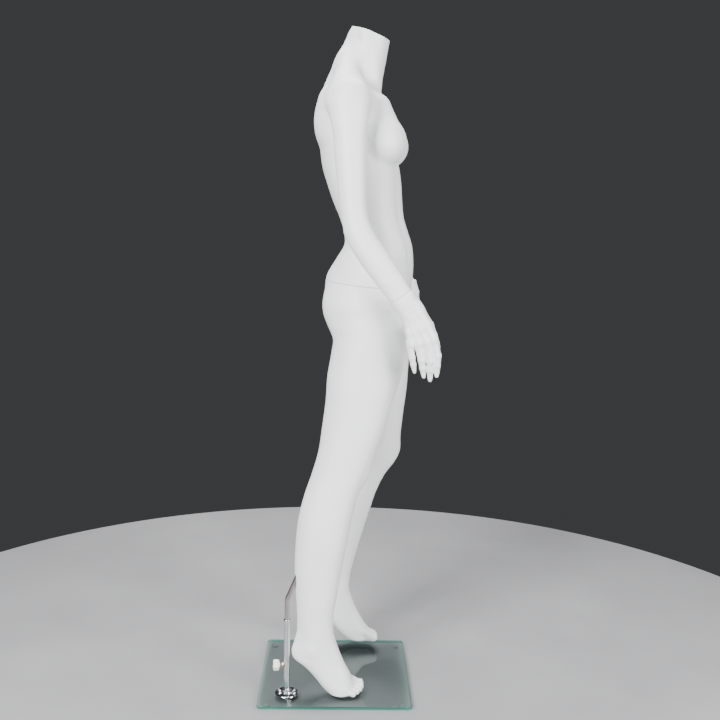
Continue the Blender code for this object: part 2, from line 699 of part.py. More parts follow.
def make_arm_and_hand(side):
    """One arm shell and its solid hand."""
    arm = boolean(arm_skin(side), "INTERSECT", half_space(shoulder_frame(side)))
    boolean(arm, "INTERSECT", half_space(wrist_frame(side)))
    boolean(arm, "DIFFERENCE", arm_hollow(side))
    counterbore(arm, shoulder_frame(side), SHOULDER_SIZE, 0.030, above=True)
    counterbore(arm, wrist_frame(side), WRIST_SIZE, 0.030, above=True)
    hand = boolean(hand_skin(side), "DIFFERENCE", half_space(wrist_frame(side), -SEAM_GAP / 2))
    counterbore(hand, wrist_frame(side), (0.0080, 0.0080), 0.0125, above=False)
    part(arm, f"{side}_arm_shell", "skin", f"{side}_shoulder_axis")
    part(hand, f"{side}_hand", "skin", f"{side}_wrist_axis")


# ---- twist locks -------------------------------------------------------------------------------
def bulkhead(name, frame, size, hole, above, axis):
    """The end plate that closes a shell, with the hole for its half of the lock."""
    low = SEAM_GAP / 2 if above else -SEAM_GAP / 2 - PLATE_THICK
    plate = cylinder(size[0], low, low + PLATE_THICK, PLATE_SEGMENTS, size[1])
    boolean(plate, "DIFFERENCE", cylinder(hole, low - 0.01, low + 0.02, 16))
    part(bake(plate, frame), name, "bulkhead", axis)


def spigot(name, frame, radius, reach, pinned, axis):
    """The male half: a flanged stem from below the lower bulkhead, with a cross pin near its tip."""
    flange_top = -PLATE_SEAT
    stem = turned(
        (
            (radius, reach - 0.001),
            (radius, flange_top),
            (radius * 1.8, flange_top),
            (radius * 1.8, flange_top - FLANGE_THICK),
            (radius * 0.6, flange_top - FLANGE_THICK),
            (radius * 0.6, reach),
            (radius - 0.001, reach),
        ),
        LOCK_STEPS,
    )
    if pinned:
        pin = cylinder(PIN_RADIUS, -radius - PIN_REACH, radius + PIN_REACH, 8)
        bake(pin, Matrix.Rotation(math.pi / 2, 4, "Y"))
        boolean(stem, "UNION", bake(pin, Matrix.Translation((0.0, 0.0, reach - PIN_DEPTH))))
    part(bake(stem, frame), name, "steel", axis)


def sleeve_profile(bore, outer, reach, flange, groove):
    """The socket's section, from its outer top round to its inner top, with a groove for the pin."""
    low = PLATE_SEAT
    profile = [
        (outer, reach + 0.002),
        (outer, low + FLANGE_THICK),
        (outer + flange, low + FLANGE_THICK),
        (outer + flange, low),
        (outer, low),
        (outer, SEAM_GAP / 2),
        (bore, SEAM_GAP / 2),
    ]
    for height, radius in groove:
        profile.append((radius, height))
    return profile + [(bore, reach + 0.002)]


def plain_socket(name, frame, radius, reach, axis):
    """A flanged sleeve that a plain stem turns in."""
    bore = radius + CLEAR
    sleeve = turned(sleeve_profile(bore, bore + 0.0018, reach, 0.0020, ()), LOCK_STEPS)
    part(bake(sleeve, frame), name, "steel", axis)


def locking_socket(name, frame, radius, reach, turn, axis):
    """A flanged sleeve with a groove all round for the cross pin, and two slots that let it in."""
    bore = radius + CLEAR
    groove = radius + PIN_REACH + 0.0007
    low, high = reach - PIN_DEPTH - 0.0030, reach - PIN_DEPTH + 0.0030
    around = ((low, bore), (low, groove), (high, groove), (high, bore))
    sleeve = turned(sleeve_profile(bore, bore + SLEEVE_WALL, reach, SLEEVE_FLANGE, around), LOCK_STEPS)
    slot = box((2 * groove, 0.0060, reach - 0.004), (0.0, 0.0, (reach - 0.008) / 2))
    boolean(sleeve, "DIFFERENCE", bake(slot, Matrix.Rotation(turn, 4, "Z")))
    part(bake(sleeve, frame), name, "steel", axis)


def twist_lock(joint, frame, size, lock, male, female, hand=1.0):
    """Both bulkheads and both halves of the lock at a seam. Z of the frame runs into the female side."""
    radius, reach, turn = lock
    (male_name, male_axis), (female_name, female_axis) = male, female
    bulkhead(f"{male_name}_bulkhead", frame, size, radius + CLEAR, False, male_axis)
    hole = radius + CLEAR + SLEEVE_WALL + 0.0012
    bulkhead(f"{female_name}_bulkhead", frame, size, hole, True, female_axis)
    spigot(f"{joint}_lock_spigot", frame, radius, reach, True, male_axis)
    locking_socket(f"{joint}_lock_socket", frame, radius, reach, hand * turn, female_axis)


def make_locks():
    """The waist, thigh and shoulder twist locks, and the plain wrist spigots."""
    pelvis, torso = ("pelvis_top", "calf_axis"), ("torso_base", "waist_axis")
    twist_lock("waist", waist_frame(), WAIST_SIZE, WAIST_LOCK, pelvis, torso)
    leg, hip = ("left_thigh_top", "thigh_axis"), ("pelvis_left_hip", "calf_axis")
    twist_lock("thigh", leg_seam_frame(), LEG_SIZE, THIGH_LOCK, leg, hip)
    for side in ("right", "left"):
        body, arm = (f"{side}_torso_shoulder", "waist_axis"), (f"{side}_arm", f"{side}_shoulder_axis")
        frame, hand = shoulder_frame(side), side_sign(side)
        twist_lock(f"{side}_shoulder", frame, SHOULDER_SIZE, SHOULDER_LOCK, body, arm, hand)
        wrist = wrist_frame(side)
        bulkhead(f"{side}_wrist_bulkhead", wrist, WRIST_SIZE, 0.0070, True, arm[1])
        plain_socket(f"{side}_wrist_socket", wrist, *WRIST_SPIGOT, arm[1])
        spigot(f"{side}_wrist_spigot", wrist, *WRIST_SPIGOT, False, f"{side}_wrist_axis")


# ---- the stand ---------------------------------------------------------------------------------
def bolt_places():
    """The four bolts round the support tube."""
    for k in range(4):
        angle = k * math.pi / 2
        yield k + 1, STAND_X + BOLT_CIRCLE * math.cos(angle), STAND_Y + BOLT_CIRCLE * math.sin(angle)


def outlined(points, thick, chamfer):
    """A flat outline made a slab with chamfered edges, standing on z = 0."""
    curve = bpy.data.curves.new("outline", "CURVE")
    curve.dimensions = "2D"
    curve.fill_mode = "BOTH"
    curve.extrude = thick / 2 - chamfer
    curve.bevel_depth = chamfer
    curve.bevel_resolution = 0
    curve.offset = -chamfer
    outline = curve.splines.new("POLY")
    outline.points.add(len(points) - 1)
    for point, (x, y) in zip(outline.points, points):
        point.co = (x, y, 0.0, 1.0)
    outline.use_cyclic_u = True
    return bake(mesh_of(curve), Matrix.Translation((0.0, 0.0, thick / 2)))


def rounded_square(side, corner):
    """The outline of a square with round corners."""
    reach = side / 2 - corner
    for k in range(4):
        turn = Matrix.Rotation(k * math.pi / 2, 2)
        for step in range(5):
            angle = step * math.pi / 8
            yield turn @ Vector((reach + corner * math.cos(angle), reach + corner * math.sin(angle)))


def lobed_circle(radius, swell, lobes, steps):
    """A circle whose edge swells and narrows a number of times round."""
    for k in range(steps):
        angle = 2 * math.pi * k / steps
        reach = radius + swell * math.cos(lobes * angle)
        yield reach * math.cos(angle), reach * math.sin(angle)


def make_glass_base():
    """The tempered glass plate, its four bolt holes and the clear feet under its corners."""
    plate = outlined(list(rounded_square(GLASS_SIDE, GLASS_CORNER)), GLASS_THICK, 0.0008)
    bake(plate, Matrix.Translation((0.0, 0.0, FOOT_HEIGHT)))
    for _, x, y in bolt_places():
        hole = cylinder(BOLT_RADIUS + 0.0008, 0.0, GLASS_TOP + 0.01, 10)
        boolean(plate, "DIFFERENCE", bake(hole, Matrix.Translation((x, y, 0.0))))
    part(plate, "glass_base", "glass", smooth_angle=20.0)
    inset = GLASS_SIDE / 2 - FOOT_INSET
    corners = {"rear_right": (-1, -1), "front_right": (1, -1), "front_left": (1, 1), "rear_left": (-1, 1)}
    for name, (x, y) in corners.items():
        top = FOOT_HEIGHT - 0.0002
        outline = ((0.0, top), (FOOT_RADIUS, top), (FOOT_RADIUS + 0.001, 0.001), (FOOT_RADIUS, 0.0), (0.0, 0.0))
        foot = turned(outline, 14)
        part(bake(foot, Matrix.Translation((x * inset, y * inset, 0.0))), f"{name}_foot", "rubber")


def make_flange():
    """The chrome flange with its hub, and the four bolts and nuts that clamp it to the glass."""
    low = GLASS_TOP + TOUCH
    seat_height = low + 0.0034
    hub = turned(
        (
            (TUBE_RADIUS + CLEAR, low + HUB_HEIGHT),
            (TUBE_RADIUS + CLEAR, low),
            (FLANGE_RADIUS, low),
            (FLANGE_RADIUS, low + 0.0018),
            (FLANGE_RADIUS - 0.0010, low + 0.0028),
            (HUB_RADIUS + 0.0023, seat_height),
            (HUB_RADIUS + 0.0003, low + 0.0060),
            (HUB_RADIUS, low + HUB_HEIGHT - 0.0010),
            (HUB_RADIUS - 0.0010, low + HUB_HEIGHT),
        ),
        28,
    )
    for _, x, y in bolt_places():
        hole = cylinder(BOLT_RADIUS + 0.0006, low - 0.002, low + 0.010, 10)
        boolean(hub, "DIFFERENCE", bake(hole, Matrix.Translation((x - STAND_X, y - STAND_Y, 0.0))))
    part(bake(hub, Matrix.Translation((STAND_X, STAND_Y, 0.0))), "base_flange", "chrome", smooth_angle=25.0)
    for number, x, y in bolt_places():
        make_bolt(number, Matrix.Translation((x, y, 0.0)), seat_height)


def make_bolt(number, place, seat_height):
    """One bolt up through the glass and the flange, and its nut."""
    tip = seat_height + 0.0078
    stem = turned(
        (
            (0.0, tip),
            (BOLT_RADIUS - 0.0006, tip),
            (BOLT_RADIUS, tip - 0.0008),
            (BOLT_RADIUS, TOUCH + 0.0022),
            (BOLT_HEAD, TOUCH + 0.0018),
            (BOLT_HEAD, TOUCH),
            (0.0, TOUCH),
        ),
        10,
    )
    part(bake(stem, place), f"flange_bolt_{number}", "steel")
    nut = cylinder(NUT_RADIUS, seat_height + TOUCH, seat_height + TOUCH + NUT_HEIGHT, 6)
    boolean(nut, "DIFFERENCE", cylinder(BOLT_RADIUS + TOUCH, seat_height - 0.002, tip + 0.004, 10))
    part(bake(nut, place), f"flange_nut_{number}", "chrome", smooth_angle=20.0)


def make_support_tube():
    """The upright tube, its rolled lip, and the boss that the clamping screw runs in."""
    low = GLASS_TOP + 0.0004
    top = GLASS_TOP + TUBE_TOP
    tube = turned(
        (
            (TUBE_BORE, top - 0.0008),
            (TUBE_BORE, low),
            (TUBE_RADIUS, low),
            (TUBE_RADIUS, top - 0.0040),
            (TUBE_RADIUS + 0.0008, top - 0.0030),
            (TUBE_RADIUS + 0.0008, top - 0.0010),
            (TUBE_RADIUS + 0.0001, top),
            (TUBE_BORE + 0.0003, top),
        ),
        20,
    )
    bake(tube, Matrix.Translation((STAND_X, STAND_Y, 0.0)))
    screw = screw_frame()
    boolean(tube, "DIFFERENCE", bake(cylinder(STUD_HOLE, 0.0, STUD_LENGTH, 12), screw))
    part(tube, "support_tube", "chrome", smooth_angle=25.0)
    boss = cylinder(0.0062, TUBE_RADIUS - 0.0015, TUBE_RADIUS + 0.0055, 6)
    boolean(boss, "DIFFERENCE", cylinder(STUD_HOLE, 0.0, STUD_LENGTH, 12))
    bake(boss, screw)
    tube_space = cylinder(TUBE_RADIUS + TOUCH, 0.0, 2 * TUBE_TOP, 28)
    boolean(boss, "DIFFERENCE", bake(tube_space, Matrix.Translation((STAND_X, STAND_Y, 0.0))))
    part(boss, "clamp_boss_nut", "chrome", smooth_angle=20.0)


def make_clamp_screw():
    """The threaded stud that presses on the rod, and the four-lobed plastic knob moulded on it."""
    tip = ROD_RADIUS + TOUCH
    stud = turned(
        (
            (0.0, STUD_LENGTH),
            (STUD_RADIUS, STUD_LENGTH),
            (STUD_RADIUS, tip + 0.0008),
            (STUD_RADIUS - 0.0008, tip),
            (0.0, tip),
        ),
        12,
    )
    part(bake(stud, screw_frame()), "clamp_stud", "steel", "clamp_axis")
    knob = turned(((0.0072, 0.0200), (0.0072, 0.0182), (0.0060, 0.0170), (0.0, 0.0170), (0.0, 0.0200)), 12)
    head = outlined(list(lobed_circle(KNOB_RADIUS, KNOB_SWELL, 4, 28)), KNOB_THICK, 0.0022)
    boolean(knob, "UNION", bake(head, Matrix.Translation((0.0, 0.0, 0.0190))))
    boolean(knob, "DIFFERENCE", cylinder(STUD_RADIUS + CLEAR, 0.0100, STUD_LENGTH + 0.0005, 12))
    part(bake(knob, screw_frame()), "clamp_knob", "knob", "clamp_axis")


def make_calf_rod():
    """The chromed rod, straight in the tube and bent forwards into the calf."""
    bend_radius = 0.026
    steps = 6
    points = [Vector((0.0, 0.0, ROD_END - BEND_HEIGHT))]
    reach = bend_radius * math.tan(ROD_LEAN / 2)
    for k in range(steps + 1):
        angle = ROD_LEAN * k / steps
        points.append(
            Vector((bend_radius * (1 - math.cos(angle)), 0.0, bend_radius * math.sin(angle) - reach))
        )
    points.append(ROD_IN_CALF * Vector((math.sin(ROD_LEAN), 0.0, math.cos(ROD_LEAN))))
    curve = bpy.data.curves.new("rod", "CURVE")
    curve.dimensions = "3D"
    curve.bevel_depth = ROD_RADIUS
    curve.bevel_resolution = 4
    curve.use_fill_caps = True
    path = curve.splines.new("POLY")
    path.points.add(len(points) - 1)
    for point, place in zip(path.points, points):
        point.co = (*place, 1.0)
    rod = bake(mesh_of(curve), Matrix.Translation((STAND_X, STAND_Y, GLASS_TOP + BEND_HEIGHT)))
    part(rod, "calf_rod", "chrome", "rod_axis", 30.0)


def make_calf_socket():
    """The closed steel sleeve set in the calf, which the rod's end stops in."""
    bore, stop = ROD_RADIUS + 0.0005, ROD_IN_CALF + 0.0006
    low, high = 0.092, ROD_IN_CALF + 0.010
    sleeve = turned(
        ((bore, stop), (bore, low), (SOCKET_RADIUS, low), (SOCKET_RADIUS, high), (0.0, high), (0.0, stop)), 24
    )
    part(bake(sleeve, rod_frame()), "calf_socket", "steel", "calf_axis")


def centre_on_origin():
    """Moves the whole part so that the middle of its box stands on the origin."""
    bpy.context.view_layer.update()
    graph = bpy.context.evaluated_depsgraph_get()
    places = []
    for obj in PARTS.objects:
        if obj.type == "MESH":
            shown = obj.evaluated_get(graph)
            places += [shown.matrix_world @ vert.co for vert in shown.data.vertices]
    low = Vector(min(place[k] for place in places) for k in range(3))
    high = Vector(max(place[k] for place in places) for k in range(3))
    CARRIERS["mannequin_origin"][0].location = (-(low.x + high.x) / 2, -(low.y + high.y) / 2, -low.z)
    bpy.context.view_layer.update()


def clear_helpers():
    """Removes the shapes that were only joined or cut with."""
    for obj in list(CUTTERS.objects):
        bpy.data.objects.remove(obj, do_unlink=True)


def main():
    start_scene()
    make_carriers()
    make_glass_base()
    make_flange()
    make_support_tube()
    make_clamp_screw()
    make_calf_rod()
    make_calf_socket()
    make_trunk_and_legs()
    for side in ("right", "left"):
        make_arm_and_hand(side)
    make_locks()
    clear_helpers()
    centre_on_origin()


main()
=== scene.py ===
"""The looks of the headless display mannequin: body, hands, feet, chrome stand and glass base.

The body's skins are level surfaces of a field: rounded sections and soft forms blended together, meshed on
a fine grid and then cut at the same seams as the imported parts. Places are given from the centre of the glass
plate's top: X forwards, Y to the body's left, Z up.
"""

import json
import math

import bmesh
import bpy
import numpy as np
from mathutils import Matrix, Vector


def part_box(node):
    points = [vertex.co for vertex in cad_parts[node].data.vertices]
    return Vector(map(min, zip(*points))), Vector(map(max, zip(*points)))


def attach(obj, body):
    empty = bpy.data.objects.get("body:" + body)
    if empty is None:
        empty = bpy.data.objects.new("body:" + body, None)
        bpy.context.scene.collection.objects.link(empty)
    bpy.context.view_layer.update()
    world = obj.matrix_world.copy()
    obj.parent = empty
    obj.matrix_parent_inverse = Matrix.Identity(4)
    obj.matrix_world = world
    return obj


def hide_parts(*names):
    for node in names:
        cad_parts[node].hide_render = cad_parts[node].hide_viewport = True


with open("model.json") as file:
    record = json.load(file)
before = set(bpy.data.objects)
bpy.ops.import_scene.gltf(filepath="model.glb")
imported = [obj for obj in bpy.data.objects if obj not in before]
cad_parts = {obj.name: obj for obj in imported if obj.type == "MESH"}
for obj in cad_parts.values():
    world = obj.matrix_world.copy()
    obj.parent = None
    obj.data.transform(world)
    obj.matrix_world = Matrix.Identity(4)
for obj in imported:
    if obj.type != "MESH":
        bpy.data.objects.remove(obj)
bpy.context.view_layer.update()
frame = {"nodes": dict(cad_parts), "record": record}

# ---- driving dimensions ----
GLASS_LOW, GLASS_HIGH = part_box("glass_base")
PLATE = Vector(((GLASS_LOW.x + GLASS_HIGH.x) / 2, (GLASS_LOW.y + GLASS_HIGH.y) / 2, GLASS_HIGH.z))
BODY_CENTRE = (0.060, 0.022)
BODY_YAW = math.radians(-5.0)
SEAM_GAP = 0.0005
CHAMFER = 0.0009
BODY_STEP = 0.0030
ARM_STEP = BODY_STEP * 0.8
LEG_STEP = 0.0026
HAND_STEP = 0.0011

WAIST = (0.070, 0.0, 1.0185)
WAIST_SLOPE = math.radians(-5.4)
NECK_TOP = (0.068, 0.0, 1.618)
NECK_SLOPE = math.radians(19.8)
SHOULDER = (0.027, 0.140, 1.447)
WRIST = (0.159, 0.208, 1.003)
FOREARM_LEAN = math.radians(35.0)
LEG_SEAM = (0.078, 0.030, 0.868)
LEG_SEAM_RISE = math.radians(24.0)
CROTCH_Y = 0.022
HAND_LEAN = {"right": math.radians(20.2), "left": math.radians(-4.0)}
KNEE = {"right": (0.076, -0.093, 0.556), "left": (0.158, 0.138, 0.560)}

GLASS_SIDE = GLASS_HIGH.x - GLASS_LOW.x
GLASS_THICK = GLASS_HIGH.z - GLASS_LOW.z
GLASS_TOP_HEIGHT = GLASS_HIGH.z
GLASS_CORNER = 0.010
TOUCH = 0.0003
STAND_X = -0.1195
STAND_Y = -0.122
TUBE_RADIUS = 0.0075
TUBE_TOP = 0.194
BEND_HEIGHT = 0.246
ROD_LEAN = math.radians(23.0)
SCREW_HEIGHT = 0.074
SOCKET_HOLE = 0.0087
SOCKET_END = 0.172
SOLE_RISE = 0.0001
FLANGE_RADIUS = 0.029
BOLT_CIRCLE = 0.0195
KNOB_RADIUS = 0.0112
KNOB_SWELL = 0.0034

ROD_RADIUS = 0.006
ROD_FOOT = 0.030
ROD_IN_CALF = 0.160
BEND_RADIUS = 0.026
TUBE_BORE = 0.0064
TUBE_FOOT = 0.0004
BOLT_RADIUS = 0.0024
NUT_RADIUS = 0.0046
NUT_SEAT = 0.0034
BOSS_RADIUS = 0.0062
BOSS_BORE = 0.0031
BOSS_START, BOSS_END = 0.0078, 0.0130
STUD_RADIUS = 0.0028
STUD_END = 0.0186

# Each seam's end plate, half depth and half width, and the hole for the lock behind it.
WAIST_PLATE = (0.0934, 0.1364, 0.0260)
LEG_PLATE = (0.0724, 0.0744, 0.0260)
SHOULDER_PLATE = (0.0404, 0.0404, 0.0190)
WRIST_PLATE = (0.0139, 0.0139, 0.0085)
HAND_PLATE = (0.0084, 0.0084, 0.0060)
PLATE_DEPTH = 0.0060
LOCK_DEPTH = 0.0480
SHOULDER_BLEND = 0.010

SIDES = {"right": -1.0, "left": 1.0}
UP = Vector((0.0, 0.0, 1.0))
FLIP = Matrix.Rotation(math.pi, 4, "X")

# ---- body sections: height, back, front, middle to the side (left out of TRUNK), half width ----
TRUNK = (
    (0.862, 0.030, 0.110, 0.030),
    (0.880, -0.004, 0.140, 0.100),
    (0.905, -0.020, 0.157, 0.142),
    (0.935, -0.026, 0.167, 0.160),
    (0.965, -0.034, 0.172, 0.165),
    (1.000, -0.036, 0.176, 0.159),
    (1.040, -0.031, 0.181, 0.145),
    (1.080, -0.009, 0.181, 0.126),
    (1.115, 0.010, 0.177, 0.112),
    (1.145, 0.008, 0.167, 0.108),
    (1.180, -0.003, 0.156, 0.109),
    (1.220, -0.020, 0.151, 0.114),
    (1.260, -0.034, 0.148, 0.120),
    (1.300, -0.046, 0.142, 0.125),
    (1.340, -0.053, 0.132, 0.129),
    (1.380, -0.064, 0.127, 0.132),
    (1.420, -0.066, 0.122, 0.132),
    (1.450, -0.061, 0.112, 0.127),
    (1.475, -0.052, 0.096, 0.105),
    (1.495, -0.036, 0.072, 0.060),
)
RIGHT_LEG = (
    (0.0005, 0.003, 0.036, -0.117, 0.024),
    (0.005, -0.010, 0.043, -0.117, 0.035),
    (0.018, -0.028, 0.046, -0.117, 0.039),
    (0.038, -0.045, 0.043, -0.117, 0.037),
    (0.056, -0.060, 0.036, -0.117, 0.033),
    (0.074, -0.079, 0.026, -0.117, 0.030),
    (0.092, -0.102, 0.018, -0.117, 0.029),
    (0.109, -0.108, 0.011, -0.117, 0.029),
    (0.135, -0.102, 0.002, -0.117, 0.030),
    (0.160, -0.096, -0.004, -0.117, 0.031),
    (0.190, -0.095, -0.006, -0.117, 0.031),
    (0.254, -0.098, 0.003, -0.116, 0.038),
    (0.318, -0.102, 0.013, -0.114, 0.046),
    (0.390, -0.100, 0.027, -0.109, 0.053),
    (0.449, -0.094, 0.037, -0.104, 0.054),
    (0.506, -0.080, 0.051, -0.099, 0.052),
    (0.560, -0.062, 0.076, -0.095, 0.052),
    (0.614, -0.047, 0.094, -0.091, 0.057),
    (0.671, -0.039, 0.115, -0.085, 0.064),
    (0.737, -0.031, 0.132, -0.078, 0.071),
    (0.800, -0.027, 0.153, -0.072, 0.077),
    (0.850, -0.019, 0.166, -0.067, 0.082),
    (0.885, -0.014, 0.170, -0.064, 0.084),
    (0.930, -0.010, 0.165, -0.060, 0.082),
    (0.960, 0.010, 0.150, -0.055, 0.070),
)
LEFT_LEG = (
    (0.0185, 0.050, 0.082, 0.166, 0.024),
    (0.023, 0.034, 0.089, 0.166, 0.035),
    (0.035, 0.014, 0.091, 0.166, 0.039),
    (0.052, -0.002, 0.086, 0.165, 0.037),
    (0.068, -0.017, 0.076, 0.164, 0.033),
    (0.085, -0.036, 0.067, 0.162, 0.030),
    (0.101, -0.058, 0.059, 0.161, 0.029),
    (0.116, -0.065, 0.052, 0.160, 0.029),
    (0.142, -0.059, 0.042, 0.160, 0.030),
    (0.167, -0.055, 0.036, 0.160, 0.031),
    (0.197, -0.054, 0.037, 0.160, 0.031),
    (0.254, -0.051, 0.049, 0.159, 0.038),
    (0.318, -0.049, 0.066, 0.157, 0.046),
    (0.390, -0.043, 0.087, 0.153, 0.053),
    (0.449, -0.030, 0.105, 0.149, 0.054),
    (0.500, -0.008, 0.129, 0.145, 0.052),
    (0.532, 0.010, 0.151, 0.142, 0.051),
    (0.565, 0.022, 0.163, 0.140, 0.053),
    (0.614, 0.022, 0.167, 0.136, 0.058),
    (0.671, 0.018, 0.172, 0.131, 0.064),
    (0.737, 0.012, 0.179, 0.124, 0.071),
    (0.800, 0.003, 0.182, 0.118, 0.077),
    (0.850, -0.004, 0.184, 0.113, 0.082),
    (0.885, -0.008, 0.183, 0.109, 0.084),
    (0.930, -0.004, 0.174, 0.104, 0.082),
    (0.960, 0.014, 0.155, 0.099, 0.070),
)
ARM = (
    (0.975, 0.150, 0.204, 0.209, 0.019),
    (0.988, 0.136, 0.197, 0.209, 0.020),
    (1.012, 0.115, 0.184, 0.208, 0.022),
    (1.037, 0.095, 0.169, 0.207, 0.025),
    (1.063, 0.074, 0.152, 0.204, 0.028),
    (1.088, 0.056, 0.135, 0.202, 0.030),
    (1.112, 0.041, 0.119, 0.200, 0.031),
    (1.136, 0.030, 0.102, 0.198, 0.031),
    (1.165, 0.022, 0.086, 0.195, 0.030),
    (1.197, 0.015, 0.077, 0.192, 0.030),
    (1.233, 0.010, 0.074, 0.189, 0.031),
    (1.280, 0.005, 0.072, 0.185, 0.033),
    (1.328, -0.001, 0.071, 0.181, 0.035),
    (1.371, -0.005, 0.073, 0.176, 0.037),
    (1.405, -0.014, 0.077, 0.167, 0.040),
    (1.440, -0.020, 0.077, 0.158, 0.043),
    (1.470, -0.008, 0.066, 0.147, 0.034),
)
# ---- hands: along the hand, towards the thumb, away from the palm, radius ----
PALM = (
    ((-0.012, -0.010, 0.000, 0.0165), (-0.008, 0.010, 0.000, 0.0165)),
    ((0.020, -0.002, 0.000, 0.0150), (0.014, 0.014, 0.000, 0.0150)),
    ((0.050, 0.002, 0.001, 0.0135), (0.045, 0.025, -0.001, 0.0140)),
    ((0.085, -0.006, 0.001, 0.0115), (0.082, 0.033, 0.001, 0.0120)),
    ((0.112, -0.013, 0.001, 0.0095), (0.118, 0.038, 0.001, 0.0105)),
)
FINGERS = {  # the base, middle and tip of each
    "index": (
        (0.1111, 0.039, 0.001, 0.0100),
        (0.1564, 0.035, -0.002, 0.0085),
        (0.1952, 0.020, -0.012, 0.0070),
    ),
    "middle": (
        (0.1130, 0.021, 0.002, 0.0100),
        (0.1640, 0.015, -0.003, 0.0085),
        (0.1999, 0.002, -0.014, 0.0070),
    ),
    "ring": (
        (0.1111, 0.002, 0.002, 0.0095),
        (0.1545, -0.003, -0.003, 0.0082),
        (0.1876, -0.010, -0.013, 0.0067),
    ),
    "little": (
        (0.1054, -0.016, 0.001, 0.0085),
        (0.1422, -0.022, -0.003, 0.0073),
        (0.1706, -0.027, -0.011, 0.0060),
    ),
    "thumb": (
        (0.0300, 0.024, -0.006, 0.0140),
        (0.0850, 0.038, -0.022, 0.0110),
        (0.1340, 0.041, -0.034, 0.0080),
    ),
}
# ---- the hand's end at the wrist, across and along the forearm, as in the body sections ----
WRIST_ROWS = np.array(
    (
        (-0.036, -0.0150, 0.0150, 0.0, 0.0215),
        (0.000, -0.0210, 0.0210, 0.0, 0.0276),
        (0.022, -0.0225, 0.0225, 0.0, 0.0290),
    )
)
# ---- toes, from the foot's ball: forwards, inwards, height, radius ----
TOES = (
    (0.0620, 0.0245, 0.0115, 0.0112),
    (0.0650, 0.0085, 0.0115, 0.0080),
    (0.0615, -0.0050, 0.0110, 0.0076),
    (0.0550, -0.0175, 0.0105, 0.0073),
    (0.0465, -0.0290, 0.0095, 0.0070),
)
# ---- where each foot's ball meets its sole ----
FOOT_PLACE = {"right": (0.0, -0.117, 0.0005), "left": (0.043, 0.166, 0.0190)}


# ---- fields: negative inside, zero on the surface ----
def smooth_union(a, b, k):
    """The union of two fields with a fillet about k wide between them."""
    h = np.clip(0.5 + 0.5 * (b - a) / k, 0.0, 1.0)
    return b * (1 - h) + a * h - k * h * (1 - h)


def smooth_cut(a, b, k):
    """The field a with b taken out of it."""
    return -smooth_union(-a, b, k)


def dense(table, step=0.002):
    """The table's rows on a cubic, at even heights."""
    rows = np.array(table)
    heights = rows[:, 0]
    slopes = np.gradient(rows, heights, axis=0)
    z = np.arange(heights[0], heights[-1], step)
    i = np.clip(np.searchsorted(heights, z, side="right") - 1, 0, len(rows) - 2)
    span = (heights[i + 1] - heights[i])[:, None]
    t = (z - heights[i])[:, None] / span
    start = (2 * t**3 - 3 * t**2 + 1) * rows[i] + (t**3 - 2 * t**2 + t) * span * slopes[i]
    end = (3 * t**2 - 2 * t**3) * rows[i + 1] + (t**3 - t**2) * span * slopes[i + 1]
    return start + end


def sections(p, rows, power=2.2):
    """A body through rounded horizontal sections."""
    z = p[:, 2]
    back, front, side, half = (np.interp(z, rows[:, 0], rows[:, k]) for k in (1, 2, 3, 4))
    x = p[:, 0] - (back + front) / 2
    y = p[:, 1] - side
    rho = (np.abs(x / (front - back) * 2) ** power + np.abs(y / half) ** power) ** (1 / power)
    inside = np.hypot(x, y) * (1 - 1 / np.maximum(rho, 1e-3))
    return np.maximum(inside, np.maximum(rows[0, 0] - z, z - rows[-1, 0]))


def cone(p, start, end):
    """A rounded cone between two balls, each (x, y, z, radius)."""
    a, b = np.array(start), np.array(end)
    along = b[:3] - a[:3]
    t = np.clip((p - a[:3]) @ along / (along @ along), 0.0, 1.0)
    return np.linalg.norm(p - a[:3] - t[:, None] * along, axis=1) - (a[3] + t * (b[3] - a[3]))


def ellipsoid(p, centre, radii):
    """An ellipsoid, close to a true distance near its surface."""
    q = (p - np.array(centre)) / np.array(radii)
    k = np.linalg.norm(q, axis=1)
    return (k - 1) * np.linalg.norm(p - np.array(centre), axis=1) / np.maximum(k, 1e-3)


def bump(p, centre, radii):
    """A soft bump of height one at a point, for adding to or taking from a field."""
    q = (p - np.array(centre)) / np.array(radii)
    return np.exp(-np.sum(q * q, axis=1))


def window(z, low, high, soft):
    """One between two heights, falling softly to nothing outside them."""
    rise = np.clip((z - low + soft) / soft, 0.0, 1.0)
    fall = np.clip((high + soft - z) / soft, 0.0, 1.0)
    return (rise * rise * (3 - 2 * rise)) * (fall * fall * (3 - 2 * fall))


def on_side(point, side):
    """A point given for the body's left, moved to a side."""
    return (point[0], SIDES[side] * point[1], point[2])


def line(across, width):
    """A soft line of height one, for a groove or a ridge."""
    return np.exp(-((across / width) ** 2))


TRUNK_ROWS = dense([(*row[:3], 0.0, row[3]) for row in TRUNK])
ARM_ROWS = dense(ARM)
LEG_ROWS = {"right": dense(RIGHT_LEG), "left": dense(LEFT_LEG)}


def body_turn():
    """From the body's own frame, which is yawed, to the plate's."""
    yawed = Matrix.Rotation(BODY_YAW, 4, "Z")
    return Matrix.Translation((*BODY_CENTRE, 0.0)) @ yawed @ Matrix.Translation((-BODY_CENTRE[0], 0.0, 0.0))


def in_frame(p, matrix):
    """The points as seen from a frame."""
    inverse = np.array(matrix.inverted())
    return p @ inverse[:3, :3].T + inverse[:3, 3]


